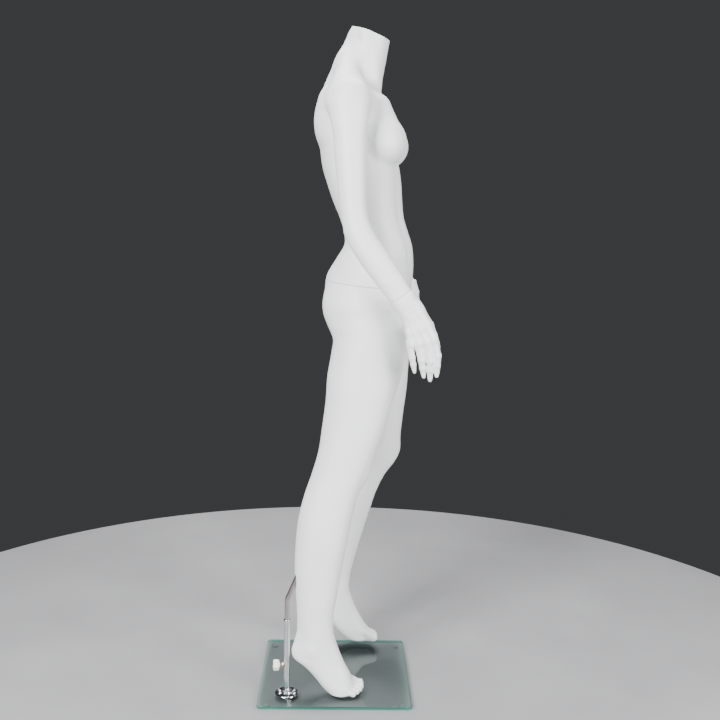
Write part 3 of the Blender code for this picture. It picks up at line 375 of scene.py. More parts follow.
def trunk_field(p):
    """Neck, shoulders, chest, belly and hips, in the body's own frame."""
    y, z = p[:, 1], p[:, 2]
    front, behind = p[:, 0] > 0.06, p[:, 0] < 0.03
    f = sections(p, TRUNK_ROWS)
    f = smooth_union(f, cone(p, (0.044, 0.0, 1.600, 0.036), (-0.0055, 0.0, 1.462, 0.052)), 0.012)
    for sign in SIDES.values():
        q = p * (1.0, sign, 1.0)
        yoke = cone(q, (0.016, 0.045, 1.476, 0.0450), (0.027, 0.152, 1.4455, 0.0510))
        f = smooth_union(f, yoke, 0.022)
        slope = cone(q, (0.020, 0.028, 1.545, 0.030), (0.014, 0.105, 1.478, 0.022))
        f = smooth_union(f, slope, 0.030)
        f -= 0.0035 * bump(q, (-0.055, 0.070, 1.405), (0.030, 0.034, 0.040))
        f += 0.0030 * bump(q, (-0.055, 0.070, 1.345), (0.030, 0.045, 0.016))
        bust = cone(q, (0.086, 0.057, 1.436, 0.036), (0.100, 0.070, 1.376, 0.050))
        ball = ellipsoid(q, (0.101, 0.072, 1.357), (0.060, 0.059, 0.056))
        f = smooth_union(f, smooth_union(bust, ball, 0.010), 0.012)
        buttock = ellipsoid(q, (0.040, 0.072, 0.966), (0.075, 0.078, 0.081))
        f = smooth_union(f, buttock, 0.016)
    neck = cone(p, (0.042, 0.0, 1.480, 0.0480), (0.079, 0.0, 1.680, 0.0460))
    f = smooth_union(f, neck, 0.016)
    for sign in SIDES.values():
        q = p * (1.0, sign, 1.0)
        collar_bone = cone(q, (0.079, 0.014, 1.489, 0.0070), (0.042, 0.118, 1.4925, 0.0080))
        f = smooth_union(f, collar_bone, 0.012)
        neck_cord = cone(q, (0.083, 0.011, 1.496, 0.0065), (0.058, 0.041, 1.610, 0.0120))
        f = smooth_union(f, neck_cord, 0.014)
        f += 0.0050 * bump(q, (0.066, 0.050, 1.512), (0.020, 0.022, 0.016))
        f -= 0.0040 * bump(q, (0.112, 0.108, 1.055), (0.040, 0.030, 0.024))
    f += front * 0.0030 * line(np.abs(y) - 0.058, 0.012) * window(z, 1.07, 1.25, 0.05)
    f += front * 0.0022 * line(y, 0.012) * window(z, 1.13, 1.28, 0.04)
    f += front * 0.0100 * bump(p, (0.172, 0.0, 1.113), (0.030, 0.0055, 0.0075))
    f += behind * 0.0070 * line(y, 0.016) * window(z, 1.08, 1.46, 0.06)
    f += behind * 0.0090 * line(y, 0.012) * window(z, 0.880, 0.975, 0.060)
    return f


def foot_field(q):
    """The five toes with their nails, and the pad behind the big toe, from the ball of the foot."""
    f = None
    for forward, inward, height, radius in TOES:
        tip = (forward, inward, height, radius)
        knuckle = (forward - 0.020, inward * 0.95, height + 0.0095, radius)
        base = (forward - 0.046, inward * 0.85, height + 0.0220, radius * 1.2)
        toe = smooth_union(cone(q, tip, knuckle), cone(q, knuckle, base), 0.004)
        above = (forward + 0.0015, inward, height + radius * 0.86)
        nail = ellipsoid(q, above, (radius * 0.62, radius * 0.62, radius * 0.26))
        toe = smooth_union(toe, nail, 0.0010)
        f = toe if f is None else smooth_union(f, toe, 0.0010)
    pad = cone(q, (0.024, 0.019, 0.0150, 0.0148), (0.054, 0.024, 0.0110, 0.0106))
    return smooth_union(f, pad, 0.003)


def rod_frame():
    """At the rod's bend, with Z along its sloping part."""
    return frame_at((STAND_X, STAND_Y, BEND_HEIGHT), (math.sin(ROD_LEAN), 0.0, math.cos(ROD_LEAN)))


def socket_field(p):
    """The hole in the right calf that the rod runs up."""
    q = in_frame(p, rod_frame())
    ends = np.maximum(-q[:, 2], q[:, 2] - SOCKET_END)
    return np.maximum(np.hypot(q[:, 0], q[:, 1]) - SOCKET_HOLE, ends)


def leg_field(p, side):
    """A thigh, knee, calf and high-heeled foot, in the plate's frame."""
    q = (p - FOOT_PLACE[side]) * (1.0, -SIDES[side], 1.0)
    f = sections(p, LEG_ROWS[side], 2.15)
    f = smooth_union(f, foot_field(q), 0.008)
    f = np.maximum(f, SOLE_RISE - q[:, 2])
    if side == "right":
        f = np.maximum(f, -socket_field(p))
    for way, height in ((1.0, 0.128), (-1.0, 0.118)):
        f -= 0.0045 * bump(q, (-0.056, way * 0.028, height), (0.014, 0.012, 0.014))
    knee = KNEE[side]
    f -= 0.0035 * bump(p, knee, (0.030, 0.022, 0.024))
    for way in SIDES.values():
        f += 0.0030 * bump(q, (-0.084, way * 0.020, 0.155), (0.016, 0.012, 0.035))
        beside = (knee[0] - 0.004, knee[1] + way * 0.034, knee[2] - 0.006)
        f += 0.0030 * bump(p, beside, (0.024, 0.010, 0.026))
    return f


def lower_field(p):
    """The hips and both legs, in the plate's frame."""
    f = smooth_union(leg_field(p, "right"), leg_field(p, "left"), 0.006)
    return smooth_union(f, trunk_field(in_frame(p, body_turn())), 0.022)


def fading(f, p, height=1.320):
    """The field with everything under a height pushed out of it."""
    return f + 4.0 * np.maximum(height - p[:, 2], 0.0)


def torso_field(p):
    """The torso with the tops of both arms, in the plate's frame."""
    q = in_frame(p, body_turn())
    f = trunk_field(q)
    for sign in SIDES.values():
        mirror = q * (1.0, sign, 1.0)
        f = smooth_union(f, fading(upper_arm_field(mirror), mirror), SHOULDER_BLEND)
    return f


def upper_arm_field(p):
    """The left arm alone, in the body's own frame, from inside the shoulder to past the wrist."""
    f = sections(p, ARM_ROWS, 2.05)
    f = smooth_union(f, cone(p, (0.027, 0.132, 1.4455, 0.0500), (0.0275, 0.150, 1.4440, 0.0500)), 0.010)
    f -= 0.0030 * bump(p, (0.032, 0.196, 1.142), (0.018, 0.016, 0.022))
    f -= 0.0025 * bump(p, (0.070, 0.184, 1.300), (0.022, 0.026, 0.060))
    return f


def arm_field(p):
    """The left arm with the side of the chest it grows from, so that both skins meet at the seam."""
    return smooth_union(upper_arm_field(p), fading(trunk_field(p), p), SHOULDER_BLEND)


def finger_field(p, name):
    """A finger with its joints, its pad and its nail."""
    base, middle, tip = (np.array(joint) for joint in FINGERS[name])
    last = middle + 0.56 * (tip - middle)
    last[2] += 0.0012
    f = cone(p, base, middle)
    f = smooth_union(f, cone(p, middle, last), 0.003)
    f = smooth_union(f, cone(p, last, tip - np.array((0.0, 0.0, 0.0, 0.0008))), 0.003)
    f -= 0.0007 * bump(p, middle[:3] + (0, 0, middle[3]), (0.006, 0.006, 0.005))
    along = (tip - last)[:3] / np.linalg.norm((tip - last)[:3])
    across = np.cross((0.0, 0.0, 1.0), along)
    across /= np.linalg.norm(across)
    up = np.cross(along, across)
    centre = tip[:3] + up * tip[3] * 0.62 + along * tip[3] * 0.30
    q = (p - centre) @ np.array((along, across, up)).T
    nail = ellipsoid(q, (0.0, 0.0, 0.0), (tip[3] * 1.25, tip[3] * 0.72, tip[3] * 0.30))
    return smooth_union(f, nail, 0.0012)


def hand_field(p, forearm):
    """A slender hand in its own frame. The forearm's matrix says how it leaves the wrist."""
    f = None
    for near, far in zip(PALM, PALM[1:]):
        slab = slab_field(p, np.array((*near, *far)))
        f = slab if f is None else smooth_union(f, slab, 0.006)
    q = in_frame(p, forearm)
    wrist = sections(np.stack((q[:, 1], q[:, 0] + 0.0026, q[:, 2]), axis=1), WRIST_ROWS, 2.1)
    f = smooth_union(f, wrist, 0.014)
    for name in FINGERS:
        f = smooth_union(f, finger_field(p, name), 0.010 if name == "thumb" else 0.0045)
    reach = np.hypot(q[:, 1] / 0.0212, (q[:, 0] + 0.0026) / 0.0278)
    f = smooth_cut(f, (1.0 - reach) * 0.021 + 0.9 * np.maximum(-q[:, 2], 0.0), 0.003)
    for name, place in (("index", 0.118), ("middle", 0.120), ("ring", 0.117), ("little", 0.110)):
        side = FINGERS[name][0][1]
        f -= 0.0016 * bump(p, (place, side, 0.012), (0.009, 0.006, 0.008))
        sinew = line(p[:, 1] - side * (0.4 + 5 * p[:, 0]), 0.0035)
        f -= 0.0009 * sinew * window(p[:, 0], 0.06, 0.10, 0.02) * (p[:, 2] > 0)
    return f


def slab_field(p, corners):
    """The rounded quadrilateral between four balls, as a ruled stack of cones."""
    f = None
    for t in np.linspace(0.0, 1.0, 4):
        start = corners[0] + t * (corners[1] - corners[0])
        end = corners[2] + t * (corners[3] - corners[2])
        rod = cone(p, start, end)
        f = rod if f is None else smooth_union(f, rod, 0.007)
    return f


# ---- from a field to a mesh ----
def sample(field, low, step, blocks):
    """The field on a grid, worked out in full only in the blocks that lie near the surface."""
    side = 4
    middles = (low[k] + (side * np.arange(blocks[k]) + 1.5) * step for k in range(3))
    centres = np.stack(np.meshgrid(*middles, indexing="ij"), -1)
    coarse = field(centres.reshape(-1, 3)).reshape(blocks)
    near = np.abs(coarse) < 2.2 * side * step
    fill = np.ones((side, side, side))
    values, near = np.kron(coarse, fill), np.kron(near, fill).astype(bool)
    places = np.argwhere(near) * step + low
    values[near] = field(places)
    return values


def crossings(values):
    """For each cell, the sum and the count of the places where its edges cross the surface."""
    cells = np.array(values.shape) - 1
    total = np.zeros((*cells, 3), np.float32)
    count = np.zeros(cells, np.int8)
    for axis in range(3):
        others = [k for k in range(3) if k != axis]
        for steps in ((0, 0), (0, 1), (1, 0), (1, 1)):
            start = [slice(0, n) for n in cells]
            for other, step in zip(others, steps):
                start[other] = slice(step, step + cells[other])
            end = list(start)
            end[axis] = slice(1, 1 + cells[axis])
            a, b = values[tuple(start)], values[tuple(end)]
            crossed = (a < 0) != (b < 0)
            total[..., axis] += np.where(crossed, a / np.where(crossed, a - b, 1.0), 0.0)
            for other, step in zip(others, steps):
                total[..., other] += crossed * step
            count += crossed
    return total, count


def surface(field, low, high, step):
    """Vertices and four-sided faces of the field's zero level, one vertex to a grid cell."""
    low, high = np.array(low), np.array(high)
    blocks = tuple(np.ceil((high - low) / (4 * step)).astype(int))
    values = sample(field, low, step, blocks)
    total, count = crossings(values)
    used = count > 0
    number = np.full(used.shape, -1, np.int64)
    number[used] = np.arange(used.sum())
    places = (np.argwhere(used) + total[used] / count[used][:, None]) * step + low
    faces = []
    for axis in range(3):
        b, c = (axis + 1) % 3, (axis + 2) % 3
        inner = [slice(0, n) for n in values.shape]
        inner[b] = slice(1, values.shape[b] - 1)
        inner[c] = slice(1, values.shape[c] - 1)
        after = list(inner)
        inner[axis], after[axis] = slice(0, values.shape[axis] - 1), slice(1, values.shape[axis])
        inside = values[tuple(inner)] < 0
        edges = np.argwhere(inside != (values[tuple(after)] < 0))
        outward = inside[tuple(edges.T)]
        edges[:, b] += 1
        edges[:, c] += 1
        corners = []
        for db, dc in ((1, 1), (0, 1), (0, 0), (1, 0)):
            cell = edges.copy()
            cell[:, b] -= db
            cell[:, c] -= dc
            corners.append(number[tuple(cell.T)])
        quads = np.stack(corners, 1)
        quads[~outward] = quads[~outward][:, ::-1]
        faces.append(quads)
    return settle(field, places, step), np.concatenate(faces)


def settle(field, places, step):
    """The vertices moved along the field's slope until they lie on its zero level."""
    reach = 0.2 * step
    for _ in range(3):
        value = field(places)
        slope = np.stack([field(places + reach * np.eye(3)[k]) - value for k in range(3)], 1) / reach
        steep = np.maximum(np.sum(slope * slope, axis=1), 0.05)
        places = places - np.clip(value / steep, -step / 2, step / 2)[:, None] * slope
    return places


def skin(field, low, high, step):
    """A bmesh of the field's surface, in the field's own frame."""
    places, quads = surface(field, low, high, step)
    mesh = bpy.data.meshes.new("skin")
    mesh.from_pydata(places.tolist(), [], quads.tolist())
    bm = bmesh.new()
    bm.from_mesh(mesh)
    bpy.data.meshes.remove(mesh)
    return bm


# ---- seams ----
def from_axes(*directions):
    """The turn that takes X, Y and Z to three directions."""
    return Matrix(directions).transposed().to_4x4()


def frame_at(point, direction, towards=(1.0, 0.0, 0.0)):
    """A matrix at a point whose Z runs along direction and whose X leans towards the given way."""
    z_axis = Vector(direction).normalized()
    y_axis = z_axis.cross(Vector(towards)).normalized()
    x_axis = y_axis.cross(z_axis)
    return Matrix.Translation(point) @ from_axes(x_axis, y_axis, z_axis)


def waist_frame():
    """At the waist seam, with Z up through the torso."""
    return body_turn() @ frame_at(WAIST, (-math.sin(WAIST_SLOPE), 0.0, math.cos(WAIST_SLOPE)))


def neck_frame():
    """At the neck's cut, with Z out of it."""
    return body_turn() @ frame_at(NECK_TOP, (math.sin(NECK_SLOPE), 0.0, math.cos(NECK_SLOPE)))


def shoulder_frame(side):
    """At a shoulder seam, with Z out into the arm."""
    return body_turn() @ frame_at(on_side(SHOULDER, side), (0.0, SIDES[side], 0.0))


def wrist_frame(side):
    """At a wrist seam, with Z up the forearm."""
    direction = (-math.sin(FOREARM_LEAN), 0.0, math.cos(FOREARM_LEAN))
    return body_turn() @ frame_at(on_side(WRIST, side), direction)


def leg_seam_frame():
    """At the left thigh's slanting seam, with Z up into the pelvis."""
    along = Vector((0.0, math.cos(LEG_SEAM_RISE), math.sin(LEG_SEAM_RISE)))
    normal = (0.0, -math.sin(LEG_SEAM_RISE), math.cos(LEG_SEAM_RISE))
    return frame_at(Vector(LEG_SEAM) + 0.080 * along, normal)


def geometry(bm, chosen):
    """The faces, with their edges and vertices, whose middles are chosen, or all of them."""
    faces = [face for face in bm.faces if chosen is None or chosen(face.calc_center_median())]
    edges = list({edge for face in faces for edge in face.edges})
    return faces + edges + list({vert for face in faces for vert in face.verts})


def cut(bm, seam, chosen=None, offset=SEAM_GAP / 2):
    """Takes off what lies under a seam's plane, of all faces or of the chosen ones."""
    normal = seam.to_3x3() @ UP
    bmesh.ops.bisect_plane(
        bm,
        geom=geometry(bm, chosen),
        dist=1e-6,
        plane_co=seam.translation + (offset + CHAMFER) * normal,
        plane_no=normal,
        clear_inner=True,
    )


def open_loops(bm):
    """The mesh's open edges as ordered rings of vertices."""
    follow = {}
    for edge in bm.edges:
        if len(edge.link_loops) == 1:
            loop = edge.link_loops[0]
            follow[loop.vert] = loop.link_loop_next.vert
    rings = []
    while follow:
        start, vert = next(iter(follow.items()))
        ring = [start]
        del follow[start]
        while vert is not start and vert in follow:
            ring.append(vert)
            vert = follow.pop(vert)
        rings.append(ring)
    return rings


def ring_near(bm, point):
    """The open ring whose middle is nearest a point."""
    def distance(ring):
        return (sum((vert.co for vert in ring), Vector()) / len(ring) - point).length
    return min((ring for ring in open_loops(bm) if len(ring) > 8), key=distance)


def extend(bm, ring, places):
    """A band of faces from an open ring to new places, and the new ring."""
    after = [bm.verts.new(place) for place in places]
    for k in range(len(ring)):
        n = (k + 1) % len(ring)
        bm.faces.new((ring[n], ring[k], after[k], after[n]))
    return after


def end_wall(bm, seam, plate, flip=False):
    """Closes a shell's open end: a chamfered rim, a seat for the end plate and a pocket for the lock."""
    ring = ring_near(bm, seam.translation)
    local = [seam.inverted() @ vert.co for vert in ring]
    out = -1.0 if flip else 1.0
    rim = out * SEAM_GAP / 2
    depth, width, hole = plate

    def oval(a, b, height):
        places = []
        for point in local:
            angle = math.atan2(point.y / b, point.x / a)
            places.append(seam @ Vector((a * math.cos(angle), b * math.sin(angle), height)))
        return places

    inset = [Vector((p.x, p.y, 0.0)) * (1 - CHAMFER / math.hypot(p.x, p.y)) for p in local]
    ring = extend(bm, ring, [seam @ Vector((p.x, p.y, rim)) for p in inset])
    seat, pocket = (depth, width), (hole, hole)
    for shape, deep in ((seat, 0.0), (seat, PLATE_DEPTH), (pocket, PLATE_DEPTH), (pocket, LOCK_DEPTH)):
        ring = extend(bm, ring, oval(*shape, rim + out * deep))
    bm.faces.new(ring[::-1])


def end_cap(bm, seam):
    """Closes a plain cut with a flat face that is sunk just inside its rim."""
    ring = ring_near(bm, seam.translation)
    local = [seam.inverted() @ vert.co for vert in ring]
    for share, height in ((0.0, 0.0), (CHAMFER, CHAMFER)):
        places = [Vector((p.x, p.y, 0.0)) * (1 - share / math.hypot(p.x, p.y)) for p in local]
        ring = extend(bm, ring, [seam @ Vector((p.x, p.y, p0.z - height)) for p, p0 in zip(places, local)])
    bm.faces.new(ring[::-1])


# ---- materials ----
class Material:
    """A node material under construction, with short calls for its nodes."""

    def __init__(self, name):
        self.made = bpy.data.materials.new(name)
        self.made.use_nodes = True
        self.nodes = self.made.node_tree.nodes
        self.links = self.made.node_tree.links
        self.shader = self.nodes["Principled BSDF"]
        self.place = self.node("ShaderNodeTexCoord").outputs["Object"]

    def node(self, kind, inputs=None, **settings):
        """A new node, its inputs linked to sockets or set to values."""
        made = self.nodes.new(kind)
        for key, value in settings.items():
            setattr(made, key, value)
        for key, value in (inputs or {}).items():
            self.fill(made.inputs[key], value)
        return made

    def fill(self, socket, value):
        """An input linked to a socket or set to a value."""
        if isinstance(value, bpy.types.NodeSocket):
            self.links.new(value, socket)
        else:
            socket.default_value = value

    def noise(self, scale, detail=3.0, place=None):
        """Noise from 0 to 1, in the object's own space unless a place is given."""
        inputs = {"Vector": place or self.place, "Scale": scale, "Detail": detail}
        return self.node("ShaderNodeTexNoise", inputs).outputs["Fac"]

    def ramp(self, value, low, high, start=0.3, end=0.7):
        """A colour between two, by a value."""
        made = self.node("ShaderNodeValToRGB", {"Fac": value})
        for stop, place, colour in zip(made.color_ramp.elements, (start, end), (low, high)):
            stop.position, stop.color = place, (*colour, 1.0)
        return made.outputs["Color"]

    def maths(self, operation, *values):
        """One sum on sockets or numbers."""
        return self.node("ShaderNodeMath", dict(enumerate(values)), operation=operation).outputs[0]

    def stretched(self, share):
        """The object's own space drawn out along Z."""
        scaled = self.node("ShaderNodeMapping", {"Vector": self.place, "Scale": (1.0, 1.0, share)})
        return scaled.outputs["Vector"]

    def level(self, value, low, high):
        """A value from 0 to 1 taken to another range."""
        made = self.node("ShaderNodeMapRange", {"Value": value, "To Min": low, "To Max": high})
        return made.outputs["Result"]

    def bump(self, height, strength, distance, normal=None):
        """A normal bent by a height, over another where one is given."""
        inputs = {"Height": height, "Strength": strength, "Distance": distance}
        if normal:
            inputs["Normal"] = normal
        return self.node("ShaderNodeBump", inputs).outputs["Normal"]

    def set(self, **inputs):
        """The shader's inputs, with _ for a space, and the finished material."""
        for key, value in inputs.items():
            self.fill(self.shader.inputs[key.replace("_", " ")], value)
        return self.made


def skin_material():
    """Sprayed matt white lacquer: a faint cloudiness and a fine orange peel."""
    m = Material("white_lacquer")
    cloud = m.noise(7.0, 4.0)
    grain = m.noise(900.0, 2.0)
    speck = m.noise(2600.0, 1.0)
    peel = m.bump(grain, 0.10, 0.0004)
    return m.set(
        Base_Color=m.ramp(cloud, (0.80, 0.805, 0.815), (0.86, 0.865, 0.875)),
        Roughness=m.level(cloud, 0.46, 0.56),
        Specular_IOR_Level=0.42,
        Coat_Weight=0.06,
        Coat_Roughness=0.35,
        Normal=m.bump(speck, 0.05, 0.0002, peel),
    )


def chrome_material():
    """Bright plate with faint drawing marks along its length."""
    m = Material("chrome_plate")
    marks = m.noise(900.0, 4.0, m.stretched(0.03))
    smear = m.noise(35.0)
    return m.set(
        Base_Color=m.ramp(smear, (0.66, 0.66, 0.68), (0.76, 0.76, 0.78), 0.35, 0.65),
        Metallic=1.0,
        Roughness=m.level(smear, 0.06, 0.16),
        Normal=m.bump(marks, 0.06, 0.0002),
    )


def satin_material():
    """The rod's duller plating, brushed along its length and a little warm."""
    m = Material("satin_plate")
    marks = m.noise(700.0, 4.0, m.stretched(0.05))
    return m.set(
        Base_Color=m.ramp(marks, (0.36, 0.33, 0.31), (0.52, 0.49, 0.47)),
        Metallic=1.0,
        Roughness=m.level(marks, 0.26, 0.40),
        Normal=m.bump(marks, 0.10, 0.0002),
    )


def copper_material():
    """The small boss nut, warm plated brass."""
    m = Material("plated_brass")
    patch = m.noise(400.0)
    return m.set(
        Base_Color=m.ramp(patch, (0.55, 0.36, 0.24), (0.70, 0.50, 0.36)),
        Metallic=1.0,
        Roughness=m.level(patch, 0.20, 0.34),
    )


def steel_material():
    """Zinc-plated turned steel with fine rings and a dull sheen."""
    m = Material("zinc_steel")
    rings = m.noise(1400.0, 2.0)
    patch = m.noise(60.0)
    return m.set(
        Base_Color=m.ramp(patch, (0.42, 0.42, 0.43), (0.60, 0.60, 0.62)),
        Metallic=1.0,
        Roughness=m.level(patch, 0.26, 0.42),
        Normal=m.bump(rings, 0.15, 0.0002),
    )


def glass_material():
    """Clear float glass: see-through faces, green edges, and reflections off its faintly dusty top."""
    m = Material("float_glass")
    dust = m.noise(160.0, 6.0)
    generated = m.node("ShaderNodeTexCoord").outputs["Generated"]
    across = m.node("ShaderNodeSeparateXYZ", {"Vector": generated}).outputs["Z"]
    depth = m.maths("ABSOLUTE", m.maths("SUBTRACT", across, 0.5))
    tint = m.ramp(depth, (0.34, 0.74, 0.62), (0.95, 0.985, 0.975), 0.44, 0.49)
    gloss = m.node("ShaderNodeFresnel", {"IOR": 1.50}).outputs[0]
    share = m.maths("MULTIPLY", m.maths("GREATER_THAN", across, 0.90), gloss)
    m.set(Base_Color=(0.93, 0.97, 0.96, 1.0), Metallic=1.0, Roughness=m.level(dust, 0.0, 0.04))
    clear = m.node("ShaderNodeBsdfTransparent", {"Color": tint}).outputs[0]
    mixed = m.node("ShaderNodeMixShader", {0: share, 1: clear, 2: m.shader.outputs[0]}).outputs[0]
    m.links.new(mixed, m.nodes["Material Output"].inputs["Surface"])
    return m.made


def knob_material():
    """Off-white moulded plastic with a soft satin surface."""
    m = Material("moulded_plastic")
    tone = m.noise(120.0)
    return m.set(
        Base_Color=m.ramp(tone, (0.80, 0.79, 0.74), (0.87, 0.86, 0.81)),
        Roughness=m.level(tone, 0.30, 0.42),
        Normal=m.bump(m.noise(1800.0, 2.0), 0.08, 0.0002),
    )


def bumper_material():
    """Clear soft bumper."""
    m = Material("clear_bumper")
    haze = m.noise(300.0)
    return m.set(
        Base_Color=m.ramp(haze, (0.80, 0.84, 0.83), (0.88, 0.90, 0.90)),
        Roughness=m.level(haze, 0.25, 0.40),
        Transmission_Weight=0.6,
        IOR=1.45,
    )


def board_material():
    """Pressed board: short fibres and a few darker chips."""
    m = Material("pressed_board")
    fibre = m.noise(240.0, 8.0)
    chip = m.noise(70.0, 5.0)
    both_tones = m.maths("MULTIPLY", fibre, chip)
    return m.set(
        Base_Color=m.ramp(both_tones, (0.36, 0.25, 0.15), (0.66, 0.52, 0.36), 0.12, 0.42),
        Roughness=m.level(fibre, 0.65, 0.85),
        Normal=m.bump(fibre, 0.35, 0.0006),
    )


SKIN = skin_material()
CHROME = chrome_material()
STEEL = steel_material()
SATIN = satin_material()
COPPER = copper_material()
GLASS = glass_material()
KNOB = knob_material()
BUMPER = bumper_material()
BOARD = board_material()


# ---- pieces ----
def placed(name, data):
    """A new object in the scene."""
    made = bpy.data.objects.new(name, data)
    bpy.context.scene.collection.objects.link(made)
    return made


def piece(bm, name, body, material, replaced=(), smooth=38.0):
    """A finished object from a bmesh in the plate's frame, riding on its body."""
    bmesh.ops.recalc_face_normals(bm, faces=bm.faces)
    mesh = bpy.data.meshes.new(name)
    bm.to_mesh(mesh)
    bm.free()
    mesh.transform(Matrix.Translation(PLATE))
    mesh.shade_smooth()
    mesh.set_sharp_from_angle(angle=math.radians(smooth))
    mesh.materials.append(material)
    obj = placed(name, mesh)
    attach(obj, body)
    if replaced:
        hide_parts(*replaced)


def make_torso():
    """The torso with its neck."""
    bm = skin(torso_field, (-0.100, -0.160, 0.990), (0.200, 0.200, 1.660), BODY_STEP)
    cut(bm, waist_frame())
    cut(bm, neck_frame() @ FLIP, offset=0.0)
    for side in SIDES:
        cut(bm, shoulder_frame(side) @ FLIP, lambda centre: centre.z > 1.25)
    end_wall(bm, waist_frame(), WAIST_PLATE)
    for side in SIDES:
        end_wall(bm, shoulder_frame(side), SHOULDER_PLATE, flip=True)
    end_cap(bm, neck_frame())
    piece(bm, "torso_skin", "torso", SKIN, ["torso_shell"])


def make_lower_body():
    """The hips with the standing leg, and the left leg."""
    bm = skin(lower_field, (-0.125, -0.180, -0.004), (0.200, 0.215, 1.050), LEG_STEP)
    cut(bm, waist_frame() @ FLIP)
    seam = leg_seam_frame()
    up = seam.to_3x3() @ UP

    def split(point, normal, chosen):
        bmesh.ops.bisect_plane(bm, geom=geometry(bm, chosen), dist=1e-6, plane_co=point, plane_no=normal)

    split((0.0, CROTCH_Y, 0.0), (0.0, 1.0, 0.0), lambda c: c.z < 0.885)
    split(seam.translation, up, lambda c: c.y > CROTCH_Y)

    def of_left_leg(face):
        centre = face.calc_center_median()
        return centre.y > CROTCH_Y and (centre - seam.translation).dot(up) < 0

    left = bm.copy()
    bmesh.ops.delete(bm, geom=[face for face in bm.faces if of_left_leg(face)], context="FACES")
    bmesh.ops.delete(left, geom=[face for face in left.faces if not of_left_leg(face)], context="FACES")
    cut(bm, seam, lambda c: c.y > CROTCH_Y - 0.004 and (c - seam.translation).dot(up) < 0.012)
    cut(left, seam @ FLIP)
    end_wall(bm, waist_frame(), WAIST_PLATE, flip=True)
    end_wall(bm, seam, LEG_PLATE)
    end_wall(left, seam, LEG_PLATE, flip=True)
    piece(bm, "lower_body_skin", "lower_body", SKIN, ["pelvis_and_right_leg_shell"])
    piece(left, "left_leg_skin", "left_leg", SKIN, ["left_leg_shell"])


def make_arm(side):
    """One arm from the shoulder to the wrist: the left, or its mirror image."""
    bm = skin(arm_field, (-0.050, 0.070, 0.960), (0.230, 0.240, 1.530), ARM_STEP)
    if side == "right":
        bmesh.ops.transform(bm, matrix=Matrix.Diagonal((1.0, -1.0, 1.0, 1.0)), verts=bm.verts)
        bmesh.ops.reverse_faces(bm, faces=bm.faces)
    bmesh.ops.transform(bm, matrix=body_turn(), verts=bm.verts)
    cut(bm, shoulder_frame(side))
    cut(bm, wrist_frame(side))
    end_wall(bm, shoulder_frame(side), SHOULDER_PLATE)
    end_wall(bm, wrist_frame(side), WRIST_PLATE)
    piece(bm, f"{side}_arm_skin", f"{side}_arm", SKIN, [f"{side}_arm_shell"])


def hand_matrix(side):
    """From a hand's own frame, where X runs along it, Y to the thumb and Z out of its back."""
    lean = HAND_LEAN[side]
    along = Vector((math.sin(lean), 0.0, -math.cos(lean)))
    thumb = Vector((math.cos(lean), 0.0, math.sin(lean)))
    back = Vector((0.0, SIDES[side], 0.0))
    return body_turn() @ Matrix.Translation(on_side(WRIST, side)) @ from_axes(along, thumb, back)


def make_hand(side):
    """One hand, solid, with its nails."""
    matrix = hand_matrix(side)
    forearm = matrix.inverted() @ wrist_frame(side)
    bm = skin(lambda p: hand_field(p, forearm), (-0.040, -0.052, -0.060), (0.222, 0.070, 0.040), HAND_STEP)
    bmesh.ops.transform(bm, matrix=matrix, verts=bm.verts)
    cut(bm, wrist_frame(side) @ FLIP)
    end_wall(bm, wrist_frame(side), HAND_PLATE, flip=True)
    piece(bm, f"{side}_hand_skin", f"{side}_hand", SKIN, [f"{side}_hand"])


# ---- the stand ----
def polar(radius, angle, height=0.0):
    """A point at a distance and an angle from Z."""
    return Vector((radius * math.cos(angle), radius * math.sin(angle), height))


def angles(steps):
    """Even steps round a circle."""
    return [2 * math.pi * k / steps for k in range(steps)]


def turn(bm, profile, matrix, steps=72):
    """A body of revolution from a closed section of (radius, height) points."""
    rings = []
    for radius, height in profile:
        around = angles(steps) if radius else [0.0]
        rings.append([bm.verts.new(matrix @ polar(radius, angle, height)) for angle in around])
    for ring, after in zip(rings, rings[1:] + rings[:1]):
        for k in range(steps):
            corners = ((ring, k), (ring, k + 1), (after, k + 1), (after, k))
            distinct = list(dict.fromkeys(near[n % len(near)] for near, n in corners))
            if len(distinct) > 2:
                bm.faces.new(distinct)


def bridge(bm, rings, wrap=False):
    """Bands of faces between rings, which go round to the first ring or else are closed at both ends."""
    for ring, after in zip(rings, rings[1:] + rings[:1] if wrap else rings[1:]):
        for k in range(len(ring)):
            n = (k + 1) % len(ring)
            bm.faces.new((ring[k], ring[n], after[n], after[k]))
    if not wrap:
        bm.faces.new(rings[0])
        bm.faces.new(rings[-1])


def stack(bm, outline, levels, matrix):
    """A closed body through one outline at several levels, each (height, inset)."""
    rings = []
    for height, inset in levels:
        ring = []
        for x, y in outline:
            share = 1 - inset / math.hypot(x, y)
            ring.append(bm.verts.new(matrix @ Vector((x * share, y * share, height))))
        rings.append(ring)
    bridge(bm, rings)


def threads(radius, depth, top, bottom, pitch):
    """A section's points down a thread, as plain rings."""
    points = []
    while top > bottom:
        points += [(radius, top), (radius - depth, top - pitch / 2)]
        top -= pitch
    return points


def rounded(low, high, radius, steps=5):
    """Levels for a stack whose two edges are rounded."""
    levels = []
    for k in range(steps + 1):
        a = math.pi / 2 * k / steps
        levels.append((low + radius * (1 - math.sin(a)), radius * (1 - math.cos(a))))
    return levels[::-1] + [(low + high - height, inset) for height, inset in levels]


def hexagon(radius, per_side=6):
    """A hexagon's outline with points along each side."""
    for k in range(6):
        a, b = (polar(radius, corner * math.pi / 3).xy for corner in (k, k + 1))
        for step in range(per_side):
            yield a.lerp(b, step / per_side)


def stand(height=0.0):
    """On the stand's axis, with Z up."""
    return Matrix.Translation((STAND_X, STAND_Y, height))


